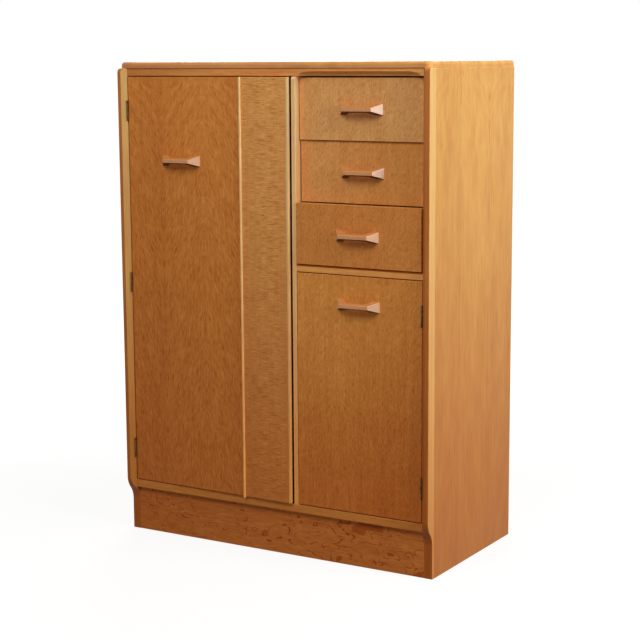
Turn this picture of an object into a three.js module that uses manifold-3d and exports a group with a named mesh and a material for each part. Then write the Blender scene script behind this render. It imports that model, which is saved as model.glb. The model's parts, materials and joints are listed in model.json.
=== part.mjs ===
import * as THREE from "three";
import { mergeVertices } from "three/addons/utils/BufferGeometryUtils.js";
import Module from "manifold-3d";

// A free-standing cabinet: a wardrobe behind a tall door on the left, and on the right three drawers over a
// cupboard with a small door. Millimetres, +Z up, front towards -Y, the left side at -X.
// The origin is on the floor, under the middle of the whole outline, pulls included, with the tall door a
// little ajar and two drawers a little out.

const wasm = await Module();
wasm.setup();

// Whole cabinet, without the pulls
const width = 889;
const depth = 457;
const height = 1220;

// Side boards, with a solid lipping along the front that is cut back at a slant towards the doors
const sideThickness = 22.5;
const sideLippingDepth = 30;
const sideFrontFlat = 11;
const sideArrisRadius = 5;
const sideTopCornerRadius = 10;
const sideTopEdgeRadius = 6;
const rebateWidth = 8;
const rebateDepth = 7;

// S-curve that takes the sides' front edge back at the plinth
const footCurveTop = 127;
const footCurveBottom = 97;
const footSetback = 23;

// Top board, which lies on the sides
const topThickness = 15.5;
const topInset = 2;
const topSetback = 9;
const topEdgeRadius = 7.5;
const topCornerRadius = 13;

// Rails and boards between the sides. Recesses are measured from the sides' front
const faceRecess = 12;
const railDepth = 45;
const topRailHeight = 18.5;
const middleRailHeight = 17.5;
const bottomRailHeight = 20;
const plinthHeight = 116;
const plinthRecess = 23;
const plinthThickness = 18;
const bottomBoardThickness = 16;
const middleBoardThickness = 6;
const backPanelThickness = 5;
const backPanelRise = 12;
const panelClearance = 0.25;

// Hollow that thins the top rail's lower front edge over the drawers
const scoopHeight = 11;
const scoopDepth = 12;
const scoopMargin = 7.5;
const scoopRunout = 28;

// Partition and the two bays
const partitionThickness = 12;
const partitionLippingDepth = 20;
const partitionTopRadius = 8;
const rightBayWidth = 344;
const cupboardHeight = 582.5;

// Doors, which stand in their openings
const doorThickness = 19.5;
const hingeSideGap = 2.25;
const wardrobeFreeGap = 4;
const cupboardFreeGap = 1.75;
const doorEndGap = 2.5;
const ajarDegrees = 1.1;
const glueGap = 0.3;
const doorLippingWidth = 6;
const beadWidth = 6;
const beadProud = 4;
const beadOverhang = 3;
const beadFromFreeEdge = 138;
const stopLength = 60;
const stopInset = 40;
const stopThickness = 12;
const stopClearance = 0.25;

// Butt hinges
const hingeLength = 51;
const hingeAxisRecess = 9.25;
const knuckleRadius = 2.5;
const knuckleCount = 5;
const knuckleGap = 0.3;
const leafThickness = 0.75;
const leafDepth = 18;
const pinRadius = 1.25;
const pinClearance = 0.05;
const hingeTabReach = 1.5;
const bottomHingeRise = 84;
const wardrobeTopHingeDrop = 85;
const cupboardTopHingeDrop = 82.5;
const middleHingeShare = 0.4985;

// Splayed pulls: a bar on two legs, which widen towards the panel that they stand on
const pullBaseWidth = 116;
const pullBaseHeight = 26.5;
const pullFaceWidth = 77;
const pullFaceHeight = 8.5;
const pullProjection = 25;
const pullBarDepth = 10;
const pullLegWidth = 19;
const pullSlotInnerWidth = 48;
const wardrobePullFromHinge = 164.75;
const wardrobePullDrop = 207.5;
const cupboardPullDrop = 70;

// Drawers. Each is told by how far it stands out at rest, from the top one down
const drawerRecess = 34;
const drawerPulledOut = [6, 0, 27];
const drawerFrontThickness = 18;
const drawerSideGap = 2.25;
const drawerGapBelow = 2;
const drawerGapBetween = 1.5;
const drawerGapAbove = 4;
const boxClearance = 4;
const boxRise = 8;
const boxTopDrop = 14;
const boxSideThickness = 12;
const boxBackGap = 4;
const boxBottomRise = 8;
const boxBottomThickness = 4;
const boxBottomGroove = 5;
const boxBottomClearance = 0.25;
const boxBackDrop = 6;

// Wooden runners on which the drawers hang by grooves in their sides
const runnerHeight = 10;
const runnerInGroove = 6;
const runnerFrontGap = 4;
const grooveClearance = 0.25;

// Hanging rail in the wardrobe
const railRadius = 12.5;
const railDrop = 70;
const railEndGap = 0.25;
const socketClearance = 0.25;
const socketFlangeRadius = 24;
const socketFlangeThickness = 3;
const socketCollarRadius = 17;
const socketCollarLength = 14;

// How finely round shapes are drawn, and how far cutters reach past what they cut
const quarterSteps = 4;
const knuckleSides = 16;
const roundSides = 24;
const curveSteps = 10;
const overrun = 2;
const mergeDistance = 0.001;

// Places that follow from the sizes
const drawerReach = drawerPulledOut.map((out) => pullProjection + out - drawerRecess);
const frontOverhang = Math.max(0, ...drawerReach);
const frontY = (frontOverhang - depth) / 2;
const backY = frontY + depth;
const faceY = frontY + faceRecess;
const backPanelY = backY - rebateDepth;
const railBackY = faceY + railDepth;
const leftX = -width / 2;
const rightX = width / 2;
const innerLeftX = leftX + sideThickness;
const innerRightX = rightX - sideThickness;
const partitionRightX = innerRightX - rightBayWidth;
const partitionLeftX = partitionRightX - partitionThickness;
const sideTopZ = height - topThickness;
const topRailZ = sideTopZ - topRailHeight;
const bottomZ = plinthHeight + bottomRailHeight;
const middleRailZ = bottomZ + cupboardHeight;
const drawerBayZ = middleRailZ + middleRailHeight;
const drawerGaps = drawerGapBelow + drawerGapAbove + drawerGapBetween * (drawerPulledOut.length - 1);
const drawerFrontHeight = (topRailZ - drawerBayZ - drawerGaps) / drawerPulledOut.length;
const boxSideHeight = drawerFrontHeight - boxRise - boxTopDrop;
const hingeAxisY = frontY + hingeAxisRecess;
const doorFaceFromAxis = faceRecess - hingeAxisRecess;
const doorBackFromAxis = doorFaceFromAxis + doorThickness;
const doorEdgeFromAxis = hingeSideGap / 2;

// Materials
function wood(colour, roughness) {
  return new THREE.MeshStandardMaterial({ color: colour, roughness, metalness: 0, flatShading: true });
}

const sideWood = wood(0xd19a5c, 0.45);
const lippingWood = wood(0xe0b077, 0.45);
const topWood = wood(0xc0884c, 0.4);
const railWood = wood(0xb57b42, 0.45);
const plinthWood = wood(0x8d4f24, 0.5);
const doorWood = wood(0x9a5a28, 0.4);
const drawerWood = wood(0xb9824f, 0.4);
const pullWood = wood(0xc48a4e, 0.4);
const innerWood = wood(0xcfa877, 0.7);
const plyWood = wood(0xc9a06c, 0.75);
const hingeBrass = new THREE.MeshStandardMaterial({ color: 0x8f6f3a, roughness: 0.45, metalness: 0.9 });

// Cutting and joining need closed meshes with shared vertices
function solidOf(geometry) {
  const bare = geometry.clone();
  bare.deleteAttribute("normal");
  bare.deleteAttribute("uv");
  const merged = mergeVertices(bare, mergeDistance);
  const triVerts = new Uint32Array(merged.index.array);
  const vertProperties = new Float32Array(merged.attributes.position.array);
  return new wasm.Manifold(new wasm.Mesh({ numProp: 3, vertProperties, triVerts }));
}

function geometryOf(solid) {
  const mesh = solid.getMesh();
  const geometry = new THREE.BufferGeometry();
  geometry.setAttribute("position", new THREE.BufferAttribute(new Float32Array(mesh.vertProperties), 3));
  geometry.setIndex(new THREE.BufferAttribute(new Uint32Array(mesh.triVerts), 1));
  geometry.computeVertexNormals();
  return geometry;
}

function joined(geometries) {
  return geometries.map(solidOf).reduce((sum, solid) => sum.add(solid));
}

function common(geometries) {
  return geometries.map(solidOf).reduce((rest, solid) => rest.intersect(solid));
}

// Basic shapes. A span is a pair of coordinates, in either order
function box(xSpan, ySpan, zSpan) {
  const size = [xSpan, ySpan, zSpan].map(([from, to]) => Math.abs(to - from));
  const middle = [xSpan, ySpan, zSpan].map(([from, to]) => (from + to) / 2);
  return new THREE.BoxGeometry(...size).translate(...middle);
}

function post(radius, sides, zSpan) {
  const length = zSpan[1] - zSpan[0];
  const geometry = new THREE.CylinderGeometry(radius, radius, length, sides);
  return geometry.rotateX(Math.PI / 2).translate(0, 0, (zSpan[0] + zSpan[1]) / 2);
}

function extruded(points, length) {
  return new THREE.ExtrudeGeometry(new THREE.Shape(points), { depth: length, bevelEnabled: false });
}

// An outline in plan, x and y, raised over a span of z
function extrudedUp(points, zSpan) {
  return extruded(points, zSpan[1] - zSpan[0]).translate(0, 0, zSpan[0]);
}

// An outline seen from the side, y and z, drawn out over a span of x
function extrudedAcross(points, xSpan) {
  const turned = new THREE.Matrix4().makeBasis(
    new THREE.Vector3(0, 1, 0),
    new THREE.Vector3(0, 0, 1),
    new THREE.Vector3(1, 0, 0),
  );
  return extruded(points, xSpan[1] - xSpan[0]).applyMatrix4(turned).translate(xSpan[0], 0, 0);
}

// An outline seen from the front, x and z, drawn out over a span of y
function extrudedBack(points, ySpan) {
  return extruded(points, ySpan[1] - ySpan[0]).rotateX(Math.PI / 2).translate(0, ySpan[1], 0);
}

// Points along an arc, both ends included. Angles count from the first axis towards the second
function arc(centre, radius, fromAngle, toAngle, steps) {
  const points = [];
  for (let i = 0; i <= steps; i++) {
    const angle = fromAngle + ((toAngle - fromAngle) * i) / steps;
    points.push(point(centre.x + radius * Math.cos(angle), centre.y + radius * Math.sin(angle)));
  }
  return points;
}

function point(x, y) {
  return new THREE.Vector2(x, y);
}

const quarter = Math.PI / 2;

function add(group, name, material, geometry, place = [0, 0, 0]) {
  const mesh = new THREE.Mesh(geometry, material);
  mesh.name = name;
  mesh.position.set(...place);
  group.add(mesh);
}

// Sides. The sign is -1 for the left one and +1 for the right one
function sidePlan(sign) {
  const at = (fromOuterFace, y) => point(sign * (width / 2 - fromOuterFace), y);
  const arris = arc(
    point(sideArrisRadius, frontY + sideArrisRadius),
    sideArrisRadius,
    -quarter,
    -2 * quarter,
    quarterSteps,
  );
  return [
    at(sideFrontFlat, frontY),
    ...arris.map((p) => at(p.x, p.y)),
    at(0, backY),
    at(sideThickness - rebateWidth, backY),
    at(sideThickness - rebateWidth, backPanelY),
    at(sideThickness, backPanelY),
    at(sideThickness, faceY),
  ];
}

function sideProfile() {
  const points = [point(backY, 0), point(backY, sideTopZ)];
  const corner = point(frontY + sideTopCornerRadius, sideTopZ - sideTopCornerRadius);
  points.push(...arc(corner, sideTopCornerRadius, quarter, 2 * quarter, quarterSteps));
  for (let i = 0; i <= curveSteps; i++) {
    const stepShare = i / curveSteps;
    const backShare = (1 - Math.cos(Math.PI * stepShare)) / 2;
    const z = footCurveTop + (footCurveBottom - footCurveTop) * stepShare;
    points.push(point(frontY + footSetback * backShare, z));
  }
  points.push(point(frontY + footSetback, 0));
  return points;
}

function sideEndView(sign) {
  const at = (fromOuterFace, z) => point(sign * (width / 2 - fromOuterFace), z);
  const centre = point(sideTopEdgeRadius, sideTopZ - sideTopEdgeRadius);
  const edge = arc(centre, sideTopEdgeRadius, quarter, 2 * quarter, quarterSteps);
  return [at(sideThickness, 0), at(sideThickness, sideTopZ), ...edge.map((p) => at(p.x, p.y)), at(0, 0)];
}

function addSide(group, word, sign) {
  const xSpan = sign < 0 ? [leftX, innerLeftX] : [innerRightX, rightX];
  const whole = common([
    extrudedUp(sidePlan(sign), [0, sideTopZ]),
    extrudedAcross(sideProfile(), xSpan),
    extrudedBack(sideEndView(sign), [frontY, backY]),
  ]);
  const wideX = [leftX - overrun, rightX + overrun];
  const wideZ = [-overrun, height + overrun];
  const front = solidOf(box(wideX, [frontY - overrun, frontY + sideLippingDepth], wideZ));
  add(group, "side_" + word, sideWood, geometryOf(whole.subtract(front)));
  add(group, "side_lipping_" + word, lippingWood, geometryOf(whole.intersect(front)));
}

// Top board, with round front and ends and a square back
function addTopBoard(group) {
  const halfWidth = width / 2 - topInset;
  const boardFrontY = frontY + topSetback;
  const right = point(halfWidth - topCornerRadius, boardFrontY + topCornerRadius);
  const left = point(-right.x, right.y);
  const outline = [
    ...arc(left, topCornerRadius, 2 * quarter, 3 * quarter, quarterSteps),
    ...arc(right, topCornerRadius, -quarter, 0, quarterSteps),
    point(halfWidth, backY + topEdgeRadius),
    point(-halfWidth, backY + topEdgeRadius),
  ];
  const rounded = new THREE.ExtrudeGeometry(new THREE.Shape(outline), {
    depth: topThickness - 2 * topEdgeRadius,
    bevelEnabled: true,
    bevelSize: topEdgeRadius,
    bevelThickness: topEdgeRadius,
    bevelOffset: -topEdgeRadius,
    bevelSegments: quarterSteps,
  }).translate(0, 0, sideTopZ + topEdgeRadius);
  const kept = box([leftX, rightX], [frontY, backY], [sideTopZ - overrun, height + overrun]);
  add(group, "top_board", topWood, geometryOf(common([rounded, kept])));
}

// The scoop's cutter is a wedge along the rail's lower front edge. Towards each end it dies out as a quarter
// ellipse
function scoopCutter() {
  const startX = partitionRightX + scoopMargin;
  const endX = innerRightX - scoopMargin;
  const rising = [];
  for (let i = 0; i <= curveSteps; i++) {
    const angle = (quarter * i) / curveSteps;
    rising.push({ along: scoopRunout * (1 - Math.cos(angle)), cutShare: Math.sin(angle) });
  }
  const sections = [
    ...rising.map(({ along, cutShare }) => ({ x: startX + along, cutShare })),
    ...rising.reverse().map(({ along, cutShare }) => ({ x: endX - along, cutShare })),
  ];
  const positions = [];
  for (const { x, cutShare } of sections) {
    positions.push(x, faceY - overrun, topRailZ - overrun);
    positions.push(x, faceY + scoopDepth * (cutShare + overrun / scoopHeight), topRailZ - overrun);
    positions.push(x, faceY - overrun, topRailZ + scoopHeight * (cutShare + overrun / scoopDepth));
  }
  const triangles = [0, 2, 1];
  for (let i = 0; i < sections.length - 1; i++) {
    for (let j = 0; j < 3; j++) {
      const here = 3 * i + j;
      const beside = 3 * i + ((j + 1) % 3);
      triangles.push(here, beside, beside + 3, here, beside + 3, here + 3);
    }
  }
  const last = positions.length / 3 - 3;
  triangles.push(last, last + 1, last + 2);
  const geometry = new THREE.BufferGeometry();
  geometry.setAttribute("position", new THREE.Float32BufferAttribute(positions, 3));
  geometry.setIndex(triangles);
  return geometry;
}

function addRails(group) {
  const between = [innerLeftX, innerRightX];
  const rightBay = [partitionRightX, innerRightX];
  const railY = [faceY, railBackY];
  const boardY = [railBackY, backPanelY];
  const topRail = solidOf(box(between, railY, [topRailZ, sideTopZ])).subtract(solidOf(scoopCutter()));
  add(group, "top_rail", railWood, geometryOf(topRail));
  add(group, "middle_rail", railWood, box(rightBay, railY, [middleRailZ, drawerBayZ]));
  add(group, "middle_board", plyWood, box(rightBay, boardY, [drawerBayZ - middleBoardThickness, drawerBayZ]));
  add(group, "bottom_rail", railWood, box(between, railY, [plinthHeight, bottomZ]));
  const bottomBoardZ = bottomZ - bottomBoardThickness;
  add(group, "bottom_board", innerWood, box(between, boardY, [bottomBoardZ, bottomZ]));
  const frontPlinthY = [frontY + plinthRecess, frontY + plinthRecess + plinthThickness];
  add(group, "plinth_front", plinthWood, box(between, frontPlinthY, [0, plinthHeight]));
  const rearPlinthY = [backPanelY - plinthThickness, backPanelY];
  add(group, "plinth_back", innerWood, box(between, rearPlinthY, [0, bottomBoardZ]));
}

// The partition has a round solid nose. Behind the top rail it reaches up to the top board
function addPartition(group) {
  const lippingBackY = faceY + partitionLippingDepth;
  const noseRadius = partitionThickness / 2;
  const nose = point((partitionLeftX + partitionRightX) / 2, faceY + noseRadius);
  const plan = [
    ...arc(nose, noseRadius, -2 * quarter, 0, 2 * quarterSteps),
    point(partitionRightX, lippingBackY),
    point(partitionLeftX, lippingBackY),
  ];
  const corner = point(faceY + partitionTopRadius, topRailZ - partitionTopRadius);
  const profile = [
    ...arc(corner, partitionTopRadius, 2 * quarter, quarter, quarterSteps),
    point(lippingBackY, topRailZ),
    point(lippingBackY, bottomZ),
    point(faceY, bottomZ),
  ];
  const xSpan = [partitionLeftX, partitionRightX];
  const lipping = common([extrudedUp(plan, [bottomZ, topRailZ]), extrudedAcross(profile, xSpan)]);
  add(group, "partition_lipping", lippingWood, geometryOf(lipping));
  const board = [
    point(lippingBackY, bottomZ),
    point(backPanelY, bottomZ),
    point(backPanelY, sideTopZ),
    point(railBackY, sideTopZ),
    point(railBackY, topRailZ),
    point(lippingBackY, topRailZ),
  ];
  add(group, "partition", innerWood, extrudedAcross(board, xSpan));
}

function addBackPanel(group) {
  const halfWidth = width / 2 - sideThickness + rebateWidth - panelClearance;
  const ySpan = [backPanelY, backPanelY + backPanelThickness];
  add(group, "back_panel", plyWood, box([-halfWidth, halfWidth], ySpan, [backPanelRise, sideTopZ]));
}

// Stops behind the doors, under the rail that each door shuts against
function addDoorStops(group) {
  const stopY = faceY + doorThickness + stopClearance;
  const ySpan = [stopY, stopY + stopThickness];
  const wardrobeX = partitionLeftX - stopInset;
  const cupboardX = partitionRightX + stopInset;
  const wardrobeStop = box([wardrobeX - stopLength, wardrobeX], ySpan, [topRailZ - stopThickness, topRailZ]);
  const cupboardZ = [middleRailZ - stopThickness, middleRailZ];
  add(group, "door_stop_wardrobe", innerWood, wardrobeStop);
  add(group, "door_stop_cupboard", innerWood, box([cupboardX, cupboardX + stopLength], ySpan, cupboardZ));
}

// Hanging rail, held at each end by a collar on a round flange
function socket() {
  const boreRadius = (railRadius + socketClearance) / Math.cos(Math.PI / roundSides);
  const profile = [
    point(boreRadius, 0),
    point(socketFlangeRadius, 0),
    point(socketFlangeRadius, socketFlangeThickness),
    point(socketCollarRadius, socketFlangeThickness),
    point(socketCollarRadius, socketCollarLength),
    point(boreRadius, socketCollarLength),
    point(boreRadius, 0),
  ];
  return new THREE.LatheGeometry(profile, roundSides).rotateZ(-quarter);
}

function addHangingRail(group) {
  const railY = (railBackY + backPanelY) / 2;
  const railZ = sideTopZ - railDrop;
  const length = partitionLeftX - innerLeftX - 2 * railEndGap;
  const rod = new THREE.CylinderGeometry(railRadius, railRadius, length, roundSides).rotateZ(quarter);
  add(group, "hanging_rail", innerWood, rod, [(innerLeftX + partitionLeftX) / 2, railY, railZ]);
  add(group, "rail_socket_left", hingeBrass, socket(), [innerLeftX, railY, railZ]);
  add(group, "rail_socket_right", hingeBrass, socket().rotateZ(2 * quarter), [partitionLeftX, railY, railZ]);
}

// Pull, with its base at y = 0 and its bar towards the front
function pull() {
  const block = new THREE.BoxGeometry(1, 1, 1);
  const corners = block.attributes.position;
  for (let i = 0; i < corners.count; i++) {
    const inFront = corners.getY(i) < 0;
    const x = corners.getX(i) * (inFront ? pullFaceWidth : pullBaseWidth);
    const z = corners.getZ(i) * (inFront ? pullFaceHeight : pullBaseHeight);
    corners.setXYZ(i, x, inFront ? -pullProjection : 0, z);
  }
  const slotHalf = pullBaseWidth / 2 - pullLegWidth;
  const slotInnerHalf = pullSlotInnerWidth / 2;
  const barBackY = pullBarDepth - pullProjection;
  const slot = [
    point(-slotHalf, overrun),
    point(-slotHalf, 0),
    point(-slotInnerHalf, barBackY),
    point(slotInnerHalf, barBackY),
    point(slotHalf, 0),
    point(slotHalf, overrun),
  ];
  const cutter = extrudedUp(slot, [-pullBaseHeight, pullBaseHeight]);
  return geometryOf(solidOf(block).subtract(solidOf(cutter)));
}

// Hinge halves about their own pin, at x = 0 and y = 0. The side is the sign of x on which the leaf lies
function knuckleSpans(first) {
  const length = (hingeLength - knuckleGap * (knuckleCount - 1)) / knuckleCount;
  const spans = [];
  for (let i = first; i < knuckleCount; i += 2) {
    const bottom = -hingeLength / 2 + i * (length + knuckleGap);
    spans.push([bottom, bottom + length]);
  }
  return spans;
}

function hingeHalf(side, leafX, spans) {
  const xSpan = [side * leafX, side * (leafX + leafThickness)];
  const ySpan = [doorFaceFromAxis, doorFaceFromAxis + leafDepth];
  const leaf = box(xSpan, ySpan, [-hingeLength / 2, hingeLength / 2]);
  const knuckles = spans.map((span) => post(knuckleRadius, knuckleSides, span));
  const tabs = spans.map((span) => box(xSpan, [hingeTabReach, doorFaceFromAxis + hingeTabReach], span));
  return joined([leaf, ...knuckles, ...tabs]);
}

function fixedHinge(side) {
  const pin = solidOf(post(pinRadius, knuckleSides, [-hingeLength / 2, hingeLength / 2]));
  return geometryOf(hingeHalf(side, doorEdgeFromAxis - leafThickness, knuckleSpans(0)).add(pin));
}

function movingHinge(side) {
  const boreRadius = (pinRadius + pinClearance) / Math.cos(Math.PI / knuckleSides);
  const bore = solidOf(post(boreRadius, knuckleSides, [-hingeLength / 2, hingeLength / 2]));
  const leafX = doorEdgeFromAxis - glueGap - leafThickness;
  return geometryOf(hingeHalf(side, leafX, knuckleSpans(1)).subtract(bore));
}

// A hinge's fixed half goes on the carcass and its moving half into the door's group. The sign is the door's
// side of the pin
function addHinges(group, door, sign, heights) {
  for (const [word, z] of Object.entries(heights)) {
    add(group, "hinge_fixed_" + word, hingeBrass, fixedHinge(-sign), [door.position.x, hingeAxisY, z]);
    add(door, "hinge_leaf_" + word, hingeBrass, movingHinge(sign), [0, 0, z]);
  }
}

// Tall door. Its group stands on the floor at the pins, and turns outwards
function addWardrobeDoor(group) {
  const door = new THREE.Group();
  door.position.set(innerLeftX + doorEdgeFromAxis, hingeAxisY, 0);
  door.rotation.z = -THREE.MathUtils.degToRad(ajarDegrees);
  group.add(door);
  const zSpan = [bottomZ + doorEndGap, topRailZ - doorEndGap];
  const ySpan = [doorFaceFromAxis, doorBackFromAxis];
  const freeX = partitionLeftX - wardrobeFreeGap - door.position.x;
  const lippingX = freeX - doorLippingWidth;
  add(door, "wardrobe_door_panel", doorWood, box([doorEdgeFromAxis, lippingX - glueGap], ySpan, zSpan));
  add(door, "wardrobe_door_lipping", lippingWood, box([lippingX, freeX], ySpan, zSpan));
  const beadX = freeX - beadFromFreeEdge;
  const beadRadius = beadWidth / 2;
  const beadCentre = point(beadX, doorFaceFromAxis - beadProud + beadRadius);
  const beadPlan = [
    ...arc(beadCentre, beadRadius, 2 * quarter, 4 * quarter, 2 * quarterSteps),
    point(beadX + beadRadius, doorFaceFromAxis - glueGap),
    point(beadX - beadRadius, doorFaceFromAxis - glueGap),
  ];
  add(door, "wardrobe_door_bead", railWood, extrudedUp(beadPlan, [zSpan[0] - beadOverhang, zSpan[1]]));
  const pullPlace = [wardrobePullFromHinge, doorFaceFromAxis - glueGap, zSpan[1] - wardrobePullDrop];
  add(door, "wardrobe_door_pull", pullWood, pull(), pullPlace);
  addHinges(group, door, 1, {
    wardrobe_top: zSpan[1] - wardrobeTopHingeDrop,
    wardrobe_middle: zSpan[0] + (zSpan[1] - zSpan[0]) * middleHingeShare,
    wardrobe_bottom: zSpan[0] + bottomHingeRise,
  });
}

// Small door under the drawers, hung on the right
function addCupboardDoor(group) {
  const door = new THREE.Group();
  door.position.set(innerRightX - doorEdgeFromAxis, hingeAxisY, 0);
  group.add(door);
  const zSpan = [bottomZ + doorEndGap, middleRailZ - doorEndGap];
  const ySpan = [doorFaceFromAxis, doorBackFromAxis];
  const freeX = partitionRightX + cupboardFreeGap - door.position.x;
  add(door, "cupboard_door_panel", doorWood, box([freeX, -doorEdgeFromAxis], ySpan, zSpan));
  const pullX = (partitionRightX + innerRightX) / 2 - door.position.x;
  const pullPlace = [pullX, doorFaceFromAxis, zSpan[1] - cupboardPullDrop];
  add(door, "cupboard_door_pull", pullWood, pull(), pullPlace);
  addHinges(group, door, -1, {
    cupboard_top: zSpan[1] - cupboardTopHingeDrop,
    cupboard_bottom: zSpan[0] + bottomHingeRise,
  });
}

// Drawers. A drawer's group has its origin at the foot of its front face, in the middle of the bay
const boxHalfWidth = rightBayWidth / 2 - boxClearance;
const boxFrontY = drawerFrontThickness;
const boxBackY = depth - rebateDepth - boxBackGap - drawerRecess;
const grooveMiddleZ = boxRise + boxSideHeight / 2;

function drawerSide(sign) {
  const at = (fromOuterFace, z) => point(sign * (boxHalfWidth - fromOuterFace), boxRise + z);
  const runnerHalf = runnerHeight / 2 + grooveClearance;
  const runnerGroove = runnerInGroove + grooveClearance;
  const bottomGrooveTop = boxBottomRise + boxBottomThickness + boxBottomClearance;
  const outline = [
    at(0, 0),
    at(boxSideThickness, 0),
    at(boxSideThickness, boxBottomRise),
    at(boxSideThickness - boxBottomGroove, boxBottomRise),
    at(boxSideThickness - boxBottomGroove, bottomGrooveTop),
    at(boxSideThickness, bottomGrooveTop),
    at(boxSideThickness, boxSideHeight),
    at(0, boxSideHeight),
    at(0, boxSideHeight / 2 + runnerHalf),
    at(runnerGroove, boxSideHeight / 2 + runnerHalf),
    at(runnerGroove, boxSideHeight / 2 - runnerHalf),
    at(0, boxSideHeight / 2 - runnerHalf),
  ];
  return extrudedBack(outline, [boxFrontY, boxBackY]);
}

function addDrawer(group, word, frontZ, pulledOut) {
  const drawer = new THREE.Group();
  const middleX = (partitionRightX + innerRightX) / 2;
  drawer.position.set(middleX, frontY + drawerRecess - pulledOut, frontZ);
  group.add(drawer);
  const name = "drawer_" + word;
  const frontHalf = rightBayWidth / 2 - drawerSideGap;
  const front = box([-frontHalf, frontHalf], [0, drawerFrontThickness], [0, drawerFrontHeight]);
  add(drawer, name + "_front", drawerWood, front);
  add(drawer, name + "_pull", pullWood, pull(), [0, 0, drawerFrontHeight / 2]);
  add(drawer, name + "_side_left", innerWood, drawerSide(-1));
  add(drawer, name + "_side_right", innerWood, drawerSide(1));
  const innerHalf = boxHalfWidth - boxSideThickness;
  const bottomHalf = innerHalf + boxBottomGroove - boxBottomClearance;
  const bottomZ0 = boxRise + boxBottomRise;
  const bottomZ1 = bottomZ0 + boxBottomThickness;
  const bottom = box([-bottomHalf, bottomHalf], [boxFrontY, boxBackY], [bottomZ0, bottomZ1]);
  add(drawer, name + "_bottom", plyWood, bottom);
  const backTop = boxRise + boxSideHeight - boxBackDrop;
  const backSpan = [boxBackY - boxSideThickness, boxBackY];
  add(drawer, name + "_back", innerWood, box([-innerHalf, innerHalf], backSpan, [bottomZ1, backTop]));
}

function addRunners(group, word, frontZ) {
  const runnerWidth = boxClearance + runnerInGroove;
  const startY = frontY + drawerRecess + drawerFrontThickness + runnerFrontGap;
  const ySpan = [startY, backPanelY];
  const middleZ = frontZ + grooveMiddleZ;
  const zSpan = [middleZ - runnerHeight / 2, middleZ + runnerHeight / 2];
  const left = box([partitionRightX, partitionRightX + runnerWidth], ySpan, zSpan);
  const right = box([innerRightX - runnerWidth, innerRightX], ySpan, zSpan);
  add(group, "runner_" + word + "_left", innerWood, left);
  add(group, "runner_" + word + "_right", innerWood, right);
}

function addDrawers(group) {
  ["top", "middle", "bottom"].forEach((word, i) => {
    const above = drawerPulledOut.length - 1 - i;
    const frontZ = drawerBayZ + drawerGapBelow + above * (drawerFrontHeight + drawerGapBetween);
    addDrawer(group, word, frontZ, drawerPulledOut[i]);
    addRunners(group, word, frontZ);
  });
}

const cabinet = new THREE.Group();
addSide(cabinet, "left", -1);
addSide(cabinet, "right", 1);
addTopBoard(cabinet);
addRails(cabinet);
addPartition(cabinet);
addBackPanel(cabinet);
addDoorStops(cabinet);
addHangingRail(cabinet);
addWardrobeDoor(cabinet);
addCupboardDoor(cabinet);
addDrawers(cabinet);

export default cabinet;
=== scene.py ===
"""Looks of a chifforobe in golden oak: rounded boards, matched veneers, splayed pulls and brass hinges, with
a studio round them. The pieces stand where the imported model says, in metres, +Z up, front towards -Y."""

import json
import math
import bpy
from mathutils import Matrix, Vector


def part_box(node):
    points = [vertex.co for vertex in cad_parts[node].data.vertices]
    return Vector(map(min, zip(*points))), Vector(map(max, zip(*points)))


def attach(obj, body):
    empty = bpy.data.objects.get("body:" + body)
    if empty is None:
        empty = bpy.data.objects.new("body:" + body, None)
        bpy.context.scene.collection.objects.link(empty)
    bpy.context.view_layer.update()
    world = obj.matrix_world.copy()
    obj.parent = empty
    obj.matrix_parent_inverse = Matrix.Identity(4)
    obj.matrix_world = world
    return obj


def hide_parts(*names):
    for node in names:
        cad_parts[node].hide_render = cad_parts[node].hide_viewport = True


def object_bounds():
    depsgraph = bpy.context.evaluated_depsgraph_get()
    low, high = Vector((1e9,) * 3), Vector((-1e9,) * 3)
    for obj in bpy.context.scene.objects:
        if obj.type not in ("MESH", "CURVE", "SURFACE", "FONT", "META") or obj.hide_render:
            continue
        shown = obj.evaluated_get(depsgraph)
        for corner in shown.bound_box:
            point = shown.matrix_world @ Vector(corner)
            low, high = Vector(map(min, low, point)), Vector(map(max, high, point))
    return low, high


bl_info = {
    "name": "Chifforobe",
    "version": (1, 0, 0),
    "blender": (4, 5, 0),
    "location": "3D View > Sidebar > Chifforobe",
    "description": "Dresses a chifforobe in oak and brass, and sets up its studio",
    "category": "Object",
}

import bmesh
import bpy
from bpy.props import FloatProperty, FloatVectorProperty, IntProperty, PointerProperty
from mathutils import Matrix, Vector

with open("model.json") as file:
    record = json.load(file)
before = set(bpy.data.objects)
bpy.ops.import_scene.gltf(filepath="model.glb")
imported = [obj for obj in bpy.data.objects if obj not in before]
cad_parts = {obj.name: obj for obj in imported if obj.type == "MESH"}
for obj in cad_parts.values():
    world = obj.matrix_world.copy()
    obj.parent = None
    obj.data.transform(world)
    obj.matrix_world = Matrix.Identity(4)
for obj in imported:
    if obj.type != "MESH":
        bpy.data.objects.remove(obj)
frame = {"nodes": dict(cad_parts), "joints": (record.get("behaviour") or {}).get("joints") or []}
packed_low, packed_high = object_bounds()

MM = 0.001
# Places that differ by less than this count as the same
NEAR = 0.1 * MM
# Edges that turn by more than this stay sharp
SHARP_FROM = math.radians(40)
# The least part of a face's normal along a screw that counts as its top
FACING_UP = 0.3
WORN = "worn"
X, Y, Z = range(3)


def joint(name):
    """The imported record's joint of that name."""
    return next(j for j in frame["joints"] if j["name"] == name)


def turn_about(pin, axis, angle):
    """A turn about an axis through a point."""
    return Matrix.Translation(pin) @ Matrix.Rotation(angle, 4, axis) @ Matrix.Translation(-pin)


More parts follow.
